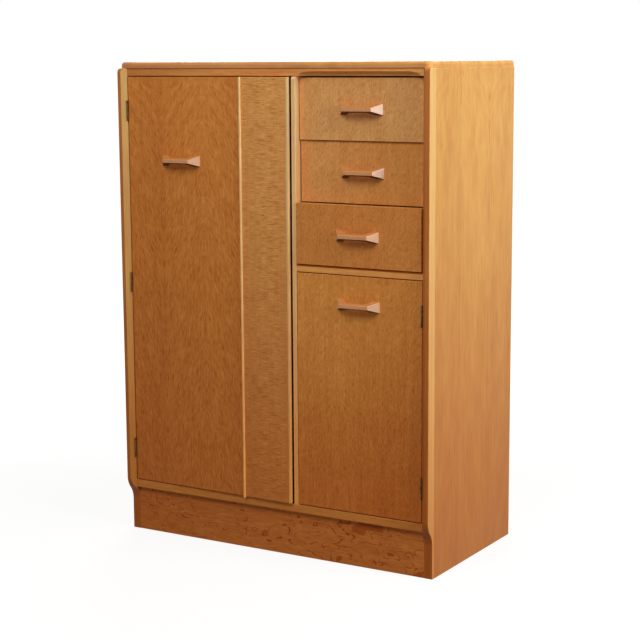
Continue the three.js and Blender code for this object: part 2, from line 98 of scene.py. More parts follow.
# The tall door stands a little ajar at rest. Its pieces are made shut and then turned by this
tall_hinge = joint("wardrobe_door_hinge")
ajar_angle = math.radians(-tall_hinge["range_deg"][0])
AJAR = turn_about(Vector(tall_hinge["pos_m"]), Vector(tall_hinge["axis"]), ajar_angle)
SHUT = Matrix.Identity(4)


# Settings that a user would change


def shade(red, green, blue):
    """A colour from the eight-bit values that a screen shows, in the linear values that Blender keeps."""
    values = [value / 255 for value in (red, green, blue)]
    return tuple(v / 12.92 if v <= 0.04045 else ((v + 0.055) / 1.055) ** 2.4 for v in values)


def colour(name, description, red, green, blue):
    """A colour setting."""
    return FloatVectorProperty(
        name=name,
        description=description,
        subtype="COLOR",
        size=3,
        min=0,
        max=1,
        default=shade(red, green, blue),
    )


def size(name, description, millimetres):
    """A length setting, given in millimetres and kept in metres."""
    return FloatProperty(
        name=name,
        description=description,
        subtype="DISTANCE",
        unit="LENGTH",
        default=millimetres * MM,
        precision=5,
    )


def angle(name, description, degrees):
    """An angle setting, given in degrees."""
    return FloatProperty(name=name, description=description, subtype="ANGLE", default=math.radians(degrees))


def share(name, description, value):
    """A setting between none and all."""
    return FloatProperty(name=name, description=description, subtype="FACTOR", min=0, max=1, default=value)


def watts(name, description, value):
    """A lamp's power."""
    return FloatProperty(name=name, description=description + ", in watts", default=value)


class ChifforobeColours(bpy.types.PropertyGroup):
    """Colours of the finishes: high ones for the top of the cabinet, low ones for the floor. Where a low
    colour is darker than its high one, that is painted shade for the light that falls off towards the floor.
    """

    side_high: colour("Side, high", "Veneer of the sides, at the top", 230, 174, 96)
    side_low: colour("Side, low", "Veneer of the sides, at the floor", 200, 122, 49)
    lipping_high: colour("Lipping, high", "Solid strips at the front, at the top", 234, 188, 116)
    lipping_low: colour("Lipping, low", "Solid strips at the front, at the floor", 218, 148, 72)
    # Painted light in part: the pale edges are paler than the veneers for the light that they catch from the
    # lamp on the right
    edge_high: colour("Pale edges, high", "Nose, bead and door's edge, at the top", 255, 216, 154)
    edge_low: colour("Pale edges, low", "Nose, bead and door's edge, at the floor", 252, 174, 90)
    # Painted shade: darker colours for the front faces of the side strips and the right strip's inward
    # slant, which the lamp on the right lights less
    handled_high: colour("Handled front, high", "Front faces of the solid strips, at the top", 212, 132, 66)
    handled_low: colour("Handled front, low", "Front faces of the solid strips, at the floor", 190, 104, 38)
    # Painted shade: the dark colour given to the back of the tall door's free edge and to the nose's flank,
    # where the gap lies in shadow
    shaded: colour("Shaded wood", "Dark stained wood in the gap beside the tall door", 64, 30, 14)
    top: colour("Top board", "Top board", 236, 158, 72)
    rail_high: colour("Top rail", "Rails, at the top", 240, 162, 88)
    rail_low: colour("Bottom rail", "Rails, at the floor", 222, 138, 62)
    plinth: colour("Plinth", "Plinth board", 218, 127, 57)
    door_high: colour("Tall door, high", "Wide veneer of the tall door, at the top", 237, 151, 70)
    door_low: colour("Tall door, low", "Wide veneer of the tall door, at the floor", 214, 123, 50)
    band_high: colour("Narrow band, high", "Narrow veneer of the tall door, at the top", 247, 174, 96)
    band_low: colour("Narrow band, low", "Narrow veneer of the tall door, at the floor", 216, 127, 56)
    drawer_high: colour("Drawers, high", "Veneer of the two upper drawers", 241, 173, 103)
    drawer_low: colour("Drawers, low", "Veneer of the lowest drawer", 226, 143, 69)
    cupboard_high: colour("Small door, high", "Veneer of the small door, at its top", 243, 162, 78)
    cupboard_low: colour("Small door, low", "Veneer of the small door, at the floor", 218, 124, 51)
    pull: colour("Pulls", "Solid wood of the pulls", 224, 150, 82)
    # Painted highlight: the splayed ends of the pulls are paler, for the glare of the lamp on them
    pull_end: colour("Pull ends", "Splayed ends of the pulls, rubbed pale", 238, 182, 134)
    # Painted shade: the undersides of the pulls are dark, as no lamp lights them from below
    pull_under: colour("Pull undersides", "Undersides of the pulls, dark from hands", 104, 52, 24)
    lining: colour("Lining", "Bare wood inside", 214, 176, 126)
    ply: colour("Plywood", "Back, drawer bottoms and the board under the drawers", 206, 166, 114)
    brass: colour("Brass", "Hinges, sockets and screws", 112, 80, 48)


class ChifforobeSizes(bpy.types.PropertyGroup):
    """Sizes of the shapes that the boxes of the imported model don't give."""

    arris: size("Arris", "Rounding of the boards' sharp edges", 0.9)
    side_front_flat: size("Side front flat", "Flat part of a side's front, before it slants back", 11)
    side_arris: size("Side arris", "Rounding of a side's outer front and top edges", 2)
    side_top_corner: size("Side top corner", "Rounding of a side's front corner under the top board", 10)
    foot_curve_top: size("Foot curve, top", "Where the sides' front starts to curve back", 127)
    foot_curve_bottom: size("Foot curve, bottom", "Where the curve at the foot ends", 97)
    foot_setback: size("Foot setback", "How far the foot stands back", 23)
    foot_curve_round: size("Foot curve rounding", "Length of each bend of the curve at the foot", 15)
    top_edge: size("Top board edge", "Rounding of the top board's upper edges", 8)
    top_corner: size("Top board corner", "Rounding of the top board's front corners, seen from above", 13)
    scoop_height: size("Scoop height", "Height of the hollow over the drawers", 11)
    scoop_depth: size("Scoop depth", "Depth of the hollow over the drawers", 12)
    scoop_margin: size("Scoop margin", "From the ends of the bay to the ends of the hollow", 7.5)
    scoop_runout: size("Scoop run-out", "Length over which the hollow dies out", 38)
    partition_top: size("Partition top", "Rounding of the partition's nose under the top rail", 8)
    # Painted shade: behind this depth the tall door's free edge takes the dark gap finish
    unshaded_edge_depth: size("Clean edge", "Front part of the tall door's free edge that isn't darkened", 8)
    bead_round: size("Bead rounding", "Rounding of the bead's front edges", 2.8)
    pull_face_width: size("Pull face width", "Width of a pull's front face", 77)
    pull_face_height: size("Pull face height", "Height of a pull's front face", 8.5)
    pull_bar_depth: size("Pull bar depth", "Depth of a pull's bar", 10)
    pull_leg_width: size("Pull leg width", "Width of a pull's leg at the panel", 19)
    pull_slot_width: size("Pull slot width", "Width of the finger slot behind the bar", 48)
    knuckle_radius: size("Knuckle radius", "Radius of the hinges' knuckles", 2.5)
    knuckle_gap: size("Knuckle gap", "Gap between two knuckles", 0.3)
    pin_radius: size("Pin radius", "Radius of the hinge pins", 1.25)
    leaf_thickness: size("Leaf thickness", "Thickness of a hinge leaf", 0.75)
    leaf_gap: size("Leaf gap", "Gap between a door's hinge leaf and the door", 0.3)
    screw_radius: size("Screw radius", "Radius of a hinge screw's head", 2.9)
    veneer_leaf: size("Front veneer leaf", "Width of one leaf of the fronts' veneer", 126)
    door_joint: size("Tall door joint", "Where two leaves of the tall door meet, from the middle", -190)
    bay_joint: size("Right bay joint", "Where two leaves of the right bay meet, from the middle", 190)
    side_leaf: size("Side veneer leaf", "Width of one leaf of the sides' veneer", 156)
    side_joint: size("Side joint", "Where two leaves of the sides meet, from the middle", -60)
    knuckle_count: IntProperty(name="Knuckles", description="Knuckles of one hinge", default=5, min=3)


class ChifforobeStudio(bpy.types.PropertyGroup):
    """Camera, lamps and floor."""

    camera_place: FloatVectorProperty(
        name="Camera place",
        description="Where the camera stands",
        subtype="TRANSLATION",
        unit="LENGTH",
        default=(2.1375, -3.5147, 1.2290),
    )
    camera_turn: angle("Camera turn", "How far the camera looks to the left of the cabinet's depth", 31.085)
    camera_dip: angle("Camera dip", "How far the camera looks down", 9.189)
    camera_roll: angle("Camera roll", "How far the camera is rolled", 0.349)
    camera_reach: FloatProperty(
        name="Camera reach", description="Focal length as a share of the image's width", default=2.5367
    )
    key_power: watts("Key power", "Power of the lamp on the right", 76)
    fill_power: watts("Fill power", "Power of the lamp at the front", 46)
    rear_power: watts("Rear power", "Power of the lamp behind", 60)
    sky_light: share("Sky light", "Brightness of the even light from all round", 0.2)
    floor_glow: share("Floor glow", "Brightness of the floor near the cabinet, for the camera alone", 0.86)
    floor_colour: colour("Floor", "Colour of the floor", 120, 119, 118)


# Meshes


def empty_bmesh():
    """A bmesh whose faces can be marked as worn."""
    bm = bmesh.new()
    bm.faces.layers.float.new(WORN)
    return bm


def mesh_from(bm, name):
    """A mesh of what a bmesh holds. The bmesh is used up."""
    mesh = bpy.data.meshes.new(name)
    bm.to_mesh(mesh)
    bm.free()
    return mesh


def new_object(name, data):
    """An object in the scene."""
    made = bpy.data.objects.new(name, data)
    bpy.context.scene.collection.objects.link(made)
    return made


def take_in(bm, other):
    """Adds another bmesh to this one. The other is used up."""
    mesh = mesh_from(other, "taken_in")
    bm.from_mesh(mesh)
    bpy.data.meshes.remove(mesh)


def block(low, high):
    """A bmesh box between two corners."""
    bm = empty_bmesh()
    bmesh.ops.create_cube(bm, size=1)
    bmesh.ops.scale(bm, vec=high - low, verts=bm.verts)
    bmesh.ops.translate(bm, vec=(low + high) / 2, verts=bm.verts)
    return bm


def prism(outline, axis, start, end):
    """A bmesh with an outline of points that lies square to an axis, drawn out along it."""
    bm = empty_bmesh()
    others = [i for i in range(3) if i != axis]
    corners = []
    for pair in outline:
        place = Vector((start, start, start))
        place[others[0]], place[others[1]] = pair
        corners.append(bm.verts.new(place))
    face = bm.faces.new(corners)
    drawn = bmesh.ops.extrude_face_region(bm, geom=[face])
    way = Vector()
    way[axis] = end - start
    bmesh.ops.translate(bm, vec=way, verts=only(bmesh.types.BMVert, drawn["geom"]))
    bmesh.ops.recalc_face_normals(bm, faces=bm.faces)
    return bm


def only(kind, geometry):
    """The verts or the edges among what an operation returned."""
    return [one for one in geometry if isinstance(one, kind)]


def lies_at(edge, **places):
    """Whether both ends of an edge are at the given x, y or z."""
    return all(abs(getattr(v.co, axis) - at) < NEAR for v in edge.verts for axis, at in places.items())


def upright_at(edge, y):
    """Whether an edge of a box is upright and at the given y."""
    first, second = (v.co for v in edge.verts)
    return lies_at(edge, y=y) and abs(first.x - second.x) < NEAR


def bevel(bm, edges, radius, segments):
    """Rounds edges, and returns the faces that this makes."""
    made = bmesh.ops.bevel(
        bm,
        geom=edges,
        offset=radius,
        offset_type="OFFSET",
        segments=segments,
        profile=0.5,
        affect="EDGES",
        clamp_overlap=True,
        material=-1,
    )
    return made["faces"]


def round_edges(bm, radius, chosen=None, segments=3):
    """Rounds the chosen edges, or all of them, and marks the rounded faces as worn."""
    layer = bm.faces.layers.float[WORN]
    for face in bevel(bm, [e for e in bm.edges if chosen is None or chosen(e)], radius, segments):
        face[layer] = 1


def split_at(bm, point, way, clear_outer=False):
    """Cuts the faces along a plane, and returns what lies on the cut."""
    everything = bm.verts[:] + bm.edges[:] + bm.faces[:]
    cut = bmesh.ops.bisect_plane(
        bm, geom=everything, plane_co=point, plane_no=way, clear_outer=clear_outer
    )
    return cut["geom_cut"]


def cut_off(bm, point, way):
    """Cuts away what lies beyond a plane, and closes the cut. The way is the one that leads off."""
    rim = split_at(bm, point, way, clear_outer=True)
    bmesh.ops.contextual_create(bm, geom=only(bmesh.types.BMEdge, rim))


def give_second(bm, chosen):
    """Gives the chosen faces the second finish of their piece."""
    for face in bm.faces:
        face.normal_update()
        face.material_index = int(chosen(face))


def turn_to(way):
    """The turn that leads +Z to a way."""
    return Vector((0, 0, 1)).rotation_difference(way).to_matrix().to_4x4()


def cylinder(bm, start, end, radius, sides=24, arris=0):
    """Adds a closed cylinder between two points, with its rims rounded when an arris is given."""
    way = end - start
    place = Matrix.Translation((start + end) / 2) @ turn_to(way)
    made = bmesh.ops.create_cone(
        bm, cap_ends=True, segments=sides, radius1=radius, radius2=radius, depth=way.length, matrix=place
    )
    if arris:
        caps = {f for v in made["verts"] for f in v.link_faces if len(f.verts) == sides}
        bevel(bm, list({e for f in caps for e in f.edges}), arris, 2)


def add_screw(bm, place, way, radius, rise, dome=0):
    """Adds a slotted screw head, whose foot is at a place and whose top faces the way given."""
    half_slot = radius / 7
    slot_depth = rise * 0.4
    head = bmesh.new()
    cone = {"radius1": radius, "radius2": radius, "depth": rise}
    made = bmesh.ops.create_cone(head, cap_ends=True, segments=20, **cone)
    bmesh.ops.translate(head, vec=(0, 0, rise / 2), verts=made["verts"])
    if dome:
        bevel(head, [e for e in head.edges if all(v.co.z > rise / 2 for v in e.verts)], dome, 4)
    for sign in (-1, 1):
        split_at(head, (sign * half_slot, 0, 0), (1, 0, 0))

    def in_slot(face):
        middle = face.calc_center_median()
        return face.normal.z > FACING_UP and abs(middle.x) < half_slot and middle.z > rise / 2

    floor = [f for f in head.faces if in_slot(f)]
    sunk = bmesh.ops.extrude_face_region(head, geom=floor)
    bmesh.ops.delete(head, geom=floor, context="FACES_ONLY")
    bmesh.ops.translate(head, vec=(0, 0, -slot_depth), verts=only(bmesh.types.BMVert, sunk["geom"]))
    bmesh.ops.transform(head, matrix=Matrix.Translation(place) @ turn_to(way), verts=head.verts)
    take_in(bm, head)


def make_piece(name, bm, body, nodes, finishes, placed=SHUT):
    """Turns a bmesh into a piece that rides on a body and stands for CAD nodes."""
    bmesh.ops.transform(bm, matrix=placed, verts=bm.verts)
    bmesh.ops.recalc_face_normals(bm, faces=bm.faces)
    mesh = mesh_from(bm, name)
    mesh.shade_smooth()
    mesh.set_sharp_from_angle(angle=SHARP_FROM)
    for one in finishes:
        mesh.materials.append(finish(one))
    piece = new_object(name, mesh)
    even = piece.modifiers.new("even_normals", "WEIGHTED_NORMAL")
    even.keep_sharp = True
    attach(piece, body)
    if nodes:
        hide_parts(*nodes)
    return piece


def node_box(node, placed=SHUT):
    """Lowest and highest corners of a CAD node before it was placed, in metres."""
    back = placed.inverted()
    points = [back @ v.co for v in frame["nodes"][node].data.vertices]
    low = Vector([min(p[i] for p in points) for i in range(3)])
    high = Vector([max(p[i] for p in points) for i in range(3)])
    return low, high


def plain_board(name, node, body, finishes, placed=SHUT):
    """A board of a node's size with softened edges."""
    bm = block(*node_box(node, placed))
    round_edges(bm, sizes().arris, segments=2)
    return make_piece(name, bm, body, [node], finishes, placed)


def dress(nodes, finish_name):
    """Gives CAD nodes a finish."""
    for node in nodes:
        for slot in frame["nodes"][node].material_slots:
            slot.material = finish(finish_name)


# Shader node trees


def fresh_tree(owner):
    """The node tree of a new material or world, empty."""
    owner.use_nodes = True
    owner.node_tree.nodes.clear()
    return owner.node_tree


class Web:
    """A node tree, with short ways to add nodes to it. A socket that is given as a value is linked."""

    def __init__(self, tree):
        self.tree = tree

    def node(self, kind, inputs=(), **settings):
        """Adds a node, its settings first."""
        made = self.tree.nodes.new("ShaderNode" + kind)
        for name, value in settings.items():
            setattr(made, name, value)
        for key, value in dict(inputs).items():
            self.put(made.inputs[key], value)
        return made

    def put(self, socket, value):
        """Links or sets one input."""
        if isinstance(value, bpy.types.NodeSocket):
            self.tree.links.new(value, socket)
        else:
            socket.default_value = value

    def math(self, operation, *values):
        """A sum on numbers."""
        return self.node("Math", enumerate(values), operation=operation).outputs[0]

    def scaled(self, vector, factors):
        """A vector times a factor for each of its parts."""
        return self.node("VectorMath", {0: vector, 1: factors}, operation="MULTIPLY").outputs[0]

    def join(self, x, y, z=0.0):
        """A vector from three numbers."""
        return self.node("CombineXYZ", {0: x, 1: y, 2: z}).outputs[0]

    def split(self, vector):
        """The three numbers of a vector."""
        return self.node("SeparateXYZ", {0: vector}).outputs

    def span(self, value, low, high, to_low=0.0, to_high=1.0):
        """A value eased from one range to another, and held at its ends."""
        inputs = {0: value, 1: low, 2: high, 3: to_low, 4: to_high}
        return self.node("MapRange", inputs, interpolation_type="SMOOTHSTEP").outputs[0]

    def noise(self, vector, detail=2.0, roughness=0.5):
        """Smooth noise of about one wave per unit."""
        inputs = {"Vector": vector, "Scale": 1.0, "Detail": detail, "Roughness": roughness}
        return self.node("TexNoise", inputs).outputs[0]

    def mix(self, factor, first, second):
        """A colour between two."""
        return self.node("Mix", {0: factor, 6: first, 7: second}, data_type="RGBA").outputs[2]

    def times(self, first, second, factor=1.0):
        """Two colours multiplied, the second by a factor of its effect."""
        inputs = {0: factor, 6: first, 7: second}
        return self.node("Mix", inputs, data_type="RGBA", blend_type="MULTIPLY").outputs[2]

    def effect(self, name, inputs):
        """A shared effect, whose node group is made when it is first asked for."""
        return self.node("Group", inputs, node_tree=effect_group(name)).outputs

    def show(self, shader, output="OutputMaterial"):
        """Links a shader to the output of its tree."""
        self.put(self.node(output).inputs["Surface"], shader.outputs[0])


def grain_effect(web, given):
    """Streaks along Z: fine pores, growth rings and broad bands, each with its waves for each metre."""
    fine = web.noise(web.scaled(given["Vector"], (520.0, 520.0, 16.0)), 3.0, 0.65)
    rings = web.noise(web.scaled(given["Vector"], (190.0, 190.0, 5.0)), 2.0, 0.55)
    bands = web.noise(web.scaled(given["Vector"], (32.0, 32.0, 1.6)), 1.0)
    height = web.math("ADD", web.math("MULTIPLY", fine, 0.45), web.math("MULTIPLY", rings, 0.35))
    tone = web.math("ADD", height, web.math("MULTIPLY", bands, 0.2))
    return {"Tone": web.span(tone, 0.36, 0.64), "Height": height}


def leaves_effect(web, given):
    """Book-matched veneer: the place across is mirrored at each joint, and each leaf has its own tone."""
    offset = web.math("SUBTRACT", given["Across"], given["Joint"])
    mirrored = web.math("PINGPONG", offset, given["Leaf"])
    index = web.math("FLOOR", web.math("DIVIDE", offset, given["Leaf"]))
    tone = web.node("TexWhiteNoise", {"W": index}, noise_dimensions="1D").outputs["Value"]
    to_joint = web.math("MINIMUM", mirrored, web.math("SUBTRACT", given["Leaf"], mirrored))
    return {"Across": mirrored, "Tone": tone, "Line": web.span(to_joint, 0.0002, 0.0016, 1.0, 0.0)}


def ticks_effect(web, given):
    """Short broken lines that crowd here and there: dark where the noise is high, pale where it is low."""
    wide = web.math("MULTIPLY", given["Across"], 26.0)
    tall = web.math("MULTIPLY", given["Along"], 9.0)
    sway = web.noise(web.join(wide, tall, given["Seed"]))
    doubled = [web.math("MULTIPLY", one, 2.0) for one in (wide, tall)]
    crowd = web.noise(web.join(*doubled, given["Seed"]))
    swayed_by = web.math("MULTIPLY", web.math("SUBTRACT", sway, 0.5), 0.014)
    cell = in_cells(web, given, web.math("ADD", given["Across"], swayed_by))
    crowding = web.math("MULTIPLY", web.math("SUBTRACT", crowd, 0.5), 0.35)
    tone = web.math("ADD", web.noise(cell, 1.0, 0.6), crowding)
    return {"Dark": web.span(tone, 0.55, 0.69), "Pale": web.span(tone, 0.46, 0.3)}


def in_cells(web, given, across):
    """A place for the noise, counted in widths across and lengths along."""
    across_count = web.math("DIVIDE", across, given["Width"])
    return web.join(across_count, web.math("DIVIDE", given["Along"], given["Length"]), given["Seed"])


def clouds_effect(web, given):
    """Soft patches, some way across and along."""
    cell = in_cells(web, given, given["Across"])
    return {"Tone": web.span(web.noise(cell, 3.0, 0.55), 0.33, 0.67)}


def wear_effect(web, given):
    """Rubbed edges, in broken stretches."""
    broken = web.noise(web.scaled(given["Vector"], (24.0, 24.0, 24.0)), 4.0, 0.6)
    rubbed = web.span(broken, 0.3, 0.7, 0.25, 1.0)
    return {"Mask": web.math("MULTIPLY", given["Worn"], rubbed)}


def sheen_effect(web, given):
    """Roughness of a hand-rubbed finish, with dull and smoother patches."""
    patches = web.noise(web.scaled(given["Vector"], (9.0, 9.0, 5.0)), 3.0, 0.6)
    specks = web.noise(web.scaled(given["Vector"], (420.0, 420.0, 420.0)), 1.0)
    spread = web.math("ADD", web.math("MULTIPLY", patches, 0.16), web.math("MULTIPLY", specks, 0.06))
    return {"Roughness": web.math("ADD", given["Base"], web.math("SUBTRACT", spread, 0.11))}


def dust_effect(web, given):
    """A thin film of dust on what faces up."""
    up = web.span(web.split(given["Normal"])[2], 0.8, 1.0)
    patches = web.span(web.noise(web.scaled(given["Vector"], (16.0, 16.0, 16.0)), 5.0, 0.6), 0.35, 0.75)
    return {"Mask": web.math("MULTIPLY", up, patches)}


# Inputs of an effect that repeats across and along a board, and of veneer in leaves
FIGURE = dict.fromkeys(("Across", "Along", "Width", "Length", "Seed"), "Float")
LEAVES = dict.fromkeys(("Across", "Joint", "Leaf"), "Float")

# Each effect's inputs, its outputs and the function that makes it
EFFECTS = {
    "grain": ({"Vector": "Vector"}, ("Tone", "Height"), grain_effect),
    "leaves": (LEAVES, ("Across", "Tone", "Line"), leaves_effect),
    "ticks": (FIGURE, ("Dark", "Pale"), ticks_effect),
    "clouds": (FIGURE, ("Tone",), clouds_effect),
    "wear": ({"Worn": "Float", "Vector": "Vector"}, ("Mask",), wear_effect),
    "sheen": ({"Vector": "Vector", "Base": "Float"}, ("Roughness",), sheen_effect),
    "dust": ({"Normal": "Vector", "Vector": "Vector"}, ("Mask",), dust_effect),
}


def effect_group(name):
    """The node group of a shared effect."""
    made = bpy.data.node_groups.get(name)
    if made:
        return made
    inputs, outputs, build = EFFECTS[name]
    made = bpy.data.node_groups.new(name, "ShaderNodeTree")
    for socket, kind in inputs.items():
        made.interface.new_socket(socket, in_out="INPUT", socket_type="NodeSocket" + kind)
    for socket in outputs:
        made.interface.new_socket(socket, in_out="OUTPUT", socket_type="NodeSocketFloat")
    given = made.nodes.new("NodeGroupInput").outputs
    result = made.nodes.new("NodeGroupOutput").inputs
    web = Web(made)
    for socket, value in build(web, given).items():
        web.put(result[socket], value)
    return made


class Wood(Web):
    """The material of one wooden surface. Its colour starts plain and takes on figure step by step."""

    # How many times as much as red the green and the blue lose where wood darkens
    GREEN_LOSS = 1.7
    BLUE_LOSS = 2.3
    # How far streaks and clouds lighten the wood, as shares of how far they darken it
    STREAK_LIGHT = 0.6
    CLOUD_LIGHT = 0.4
    # What the colour is multiplied by on rubbed edges, and the colour and strength of the film of dust
    RUBBED = (1.22, 1.26, 1.3, 1)
    DUST = (*shade(206, 198, 186), 1)
    DUST_FILM = 0.08
    BUMP_STRENGTH = 0.25

    def __init__(self, name, high, low, grain_axis, across_axis=X, heights=None):
        self.material = bpy.data.materials.new(name)
        super().__init__(fresh_tree(self.material))
        self.place = self.node("TexCoord").outputs["Object"]
        self.parts = self.split(self.place)
        self.along = self.parts[grain_axis]
        self.across = self.parts[across_axis]
        self.lean = 0.0
        upright = {X: (0, -math.pi / 2, 0), Y: (math.pi / 2, 0, 0), Z: (0, 0, 0)}[grain_axis]
        self.turned = self.node("Mapping", {"Vector": self.place, "Rotation": upright}).outputs[0]
        # Painted light: the colour runs from the low one at the floor to the high one at the top, as the
        # lamps light the top more
        bottom, top = heights or (packed_low.z, packed_high.z)
        self.colour = self.mix(self.span(self.parts[Z], bottom, top), (*low, 1), (*high, 1))
        grain = self.effect("grain", {"Vector": self.turned})
        self.tone = grain["Tone"]
        self.height = grain["Height"]

    def tint(self, amount):
        """What a colour is multiplied by to darken it by a share, or to lighten it by a negative one."""
        return (1 - amount, 1 - amount * self.GREEN_LOSS, 1 - amount * self.BLUE_LOSS, 1)

    def vary(self, tone, dark, light):
        """Darkens where a tone is low and lightens where it is high."""
        self.colour = self.times(self.colour, self.mix(tone, self.tint(dark), self.tint(-light)))

    def streaks(self, depth):
        """Darkens and lightens along the grain. The depth is the share that the darkest streak loses."""
        self.vary(self.tone, depth, depth * self.STREAK_LIGHT)

    def slant(self, slope, bend=0.0, start=0.0):
        """Leans the figure that follows. The bend adds to the slope above the start, for each metre."""
        above = self.math("MAXIMUM", self.math("SUBTRACT", self.along, start), 0.0)
        bent = self.math("MULTIPLY", self.math("MULTIPLY", above, above), bend / 2)
        self.lean = self.math("ADD", self.math("MULTIPLY", self.along, slope), bent)

    def matched(self, joint_place, leaf, depth, line):
        """Mirrors what follows at the joints between leaves of veneer, and tints each leaf."""
        made = self.effect("leaves", {"Across": self.across, "Joint": joint_place, "Leaf": leaf})
        self.across = made["Across"]
        self.vary(made["Tone"], depth, 0)
        self.darken(made["Line"], line)

    def darken(self, mask, depth):
        """Darkens where a mask is 1, or lightens there if the depth is negative."""
        self.colour = self.times(self.colour, self.tint(depth), mask)

    def within(self, value, low, high):
        """1 where a value lies between two others, and else 0."""
        return self.math("COMPARE", value, (low + high) / 2, (high - low) / 2)

    def figure(self, effect, width, length, seed, flat=False):
        """The outputs of an effect that repeats across and along the board, or the reverse if flat."""
        across = self.math("SUBTRACT", self.across, self.lean)
        across, along = (self.along, across) if flat else (across, self.along)
        inputs = {"Across": across, "Along": along, "Width": width, "Length": length, "Seed": seed}
        return self.effect(effect, inputs)

    def clouds(self, width, length, depth, seed=0.0):
        """Soft patches, darker and lighter."""
        tone = self.figure("clouds", width, length, seed)["Tone"]
        self.vary(tone, depth, depth * self.CLOUD_LIGHT)

    def ticks(self, width, length, dark, pale, seed=0.0, flat=False, where=1.0):
        """Short broken lines, dark and pale, each by its own depth."""
        made = self.figure("ticks", width, length, seed, flat)
        self.darken(self.math("MULTIPLY", made["Dark"], where), dark)
        self.darken(self.math("MULTIPLY", made["Pale"], where), -pale)

    def rims(self, value, level, half_width, depth, where):
        """Darkens lines where a value crosses a level, kept where a mask is 1."""
        off = self.math("ABSOLUTE", self.math("SUBTRACT", value, level))
        line = self.span(off, half_width / 3, half_width, 1.0, 0.0)
        self.darken(self.math("MULTIPLY", line, where), depth)

    def finished(self, roughness, relief=0.04, gloss=0.12):
        """Adds wear, dust, sheen and relief, and joins it all to the shader."""
        worn = self.node("Attribute", attribute_name=WORN).outputs["Fac"]
        rubbed = self.effect("wear", {"Worn": worn, "Vector": self.place})["Mask"]
        shown = self.times(self.colour, self.RUBBED, rubbed)
        normal = self.node("NewGeometry").outputs["Normal"]
        film = self.effect("dust", {"Normal": normal, "Vector": self.place})["Mask"]
        shown = self.mix(self.math("MULTIPLY", film, self.DUST_FILM), shown, self.DUST)
        inputs = {"Height": self.height, "Strength": self.BUMP_STRENGTH, "Distance": relief * MM}
        bump = self.node("Bump", inputs)
        sheen = self.effect("sheen", {"Vector": self.turned, "Base": roughness})["Roughness"]
        inputs = {"Base Color": shown, "Roughness": sheen, "Normal": bump.outputs[0]}
        self.show(self.node("BsdfPrincipled", {**inputs, "Specular IOR Level": gloss}))
        return self.material


# Finishes. Clouds are given by width, length and depth, and ticks by width, length, dark depth and pale
# depth. Lengths and places are in metres, and a depth is the share of its colour that the wood loses


def colours():
    """The colour settings."""
    return bpy.context.scene.chifforobe_colours


def sizes():
    """The size settings."""
    return bpy.context.scene.chifforobe_sizes


def side_oak(name):
    """Straight-grained veneer in wide leaves, the front one a little browner."""
    wood = Wood(name, colours().side_high, colours().side_low, Z, Y)
    wood.darken(wood.span(wood.across, sizes().side_joint, sizes().side_joint + 4 * MM, 1.0, 0.0), 0.035)
    upper = wood.span(wood.along, 0.85, 1.15)
    wood.matched(sizes().side_joint, sizes().side_leaf, 0.045, 0.08)
    wood.streaks(0.055)
    wood.clouds(0.05, 0.16, 0.055)
    wood.ticks(0.006, 0.09, 0.06, 0.04)
    wood.slant(0.0, -1.3, 0.8)
    wood.ticks(0.006, 0.03, 0.07, 0.05, 3.7, where=upper)
    return wood.finished(0.42)


def lipping_oak(name):
    """Pale solid strips."""
    wood = Wood(name, colours().lipping_high, colours().lipping_low, Z)
    # Painted shade: the left strip darkens towards the floor, where less light reaches it
    strip_middle = (packed_low.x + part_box("plinth_front")[0].x) / 2
    left_strip = wood.math("COMPARE", wood.across, strip_middle, 12 * MM)
    lower = wood.span(wood.along, 0.1, 1.1, 1.0, 0.0)
    wood.darken(wood.math("MULTIPLY", left_strip, lower), 0.16)
    wood.streaks(0.08)
    wood.clouds(0.02, 0.3, 0.05)
    return wood.finished(0.4)


def top_oak(name):
    """Top board, with its grain from side to side."""
    wood = Wood(name, colours().top, colours().top, X, Y)
    wood.matched(sizes().side_joint, sizes().side_leaf, 0.03, 0.03)
    wood.darken(wood.span(wood.along, -0.4, 0.2, 1.0, 0.0), 0.12)
    wood.darken(wood.span(wood.along, 0.0, 0.4), -0.06)
    wood.streaks(0.1)
    wood.clouds(0.05, 0.3, 0.05)
    wood.ticks(0.005, 0.05, 0.07, 0.05)
    return wood.finished(0.1, relief=0.006, gloss=0.5)


def rail_oak(name):
    """Rails, with their grain from side to side."""
    wood = Wood(name, colours().rail_high, colours().rail_low, X, Z)
    upper = wood.span(wood.across, 0.6, 1.0)
    wood.darken(wood.math("MULTIPLY", wood.span(wood.along, -0.4, -0.15, 1.0, 0.0), upper), 0.1)
    wood.darken(wood.math("MULTIPLY", wood.span(wood.along, 0.0, 0.3), upper), -0.14)
    low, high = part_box("middle_rail")
    shadow = 4 * MM
    wood.darken(wood.within(wood.across, low.z, high.z), -0.2)
    # Painted shadow: a dark line along the top of the middle rail, under the lowest drawer
    wood.darken(wood.math("COMPARE", wood.across, high.z, shadow), 0.4)
    wood.streaks(0.11)
    wood.clouds(0.012, 0.16, 0.05)
    wood.ticks(0.005, 0.03, 0.06, 0.04)
    return wood.finished(0.42)


def plinth_oak(name):
    """Plain-sawn board with ragged silver figure, which is boldest at its right end."""
    wood = Wood(name, colours().plinth, colours().plinth, X, Z)
    wood.darken(wood.span(wood.along, -0.4, 0.1, 1.0, 0.0), 0.06)
    wood.streaks(0.07)
    wood.clouds(0.02, 0.09, 0.07)
    wood.ticks(0.006, 0.03, 0.1, 0.08)
    broad = wood.noise(wood.scaled(wood.place, (12.0, 12.0, 26.0)), 1.0, 0.5)
    ragged = wood.noise(wood.scaled(wood.place, (55.0, 55.0, 90.0)), 2.0, 0.5)
    bold = wood.span(wood.along, -0.05, 0.4, -0.05, 0.08)
    figure = wood.math("ADD", wood.math("ADD", broad, wood.math("MULTIPLY", ragged, 0.13)), bold)
    wood.darken(wood.span(figure, 0.75, 0.765), 0.28)
    broken = wood.span(ragged, 0.42, 0.56)
    wood.rims(figure, 0.675, 0.013, 0.42, broken)
    wood.rims(figure, 0.54, 0.012, 0.34, broken)
    return wood.finished(0.5)


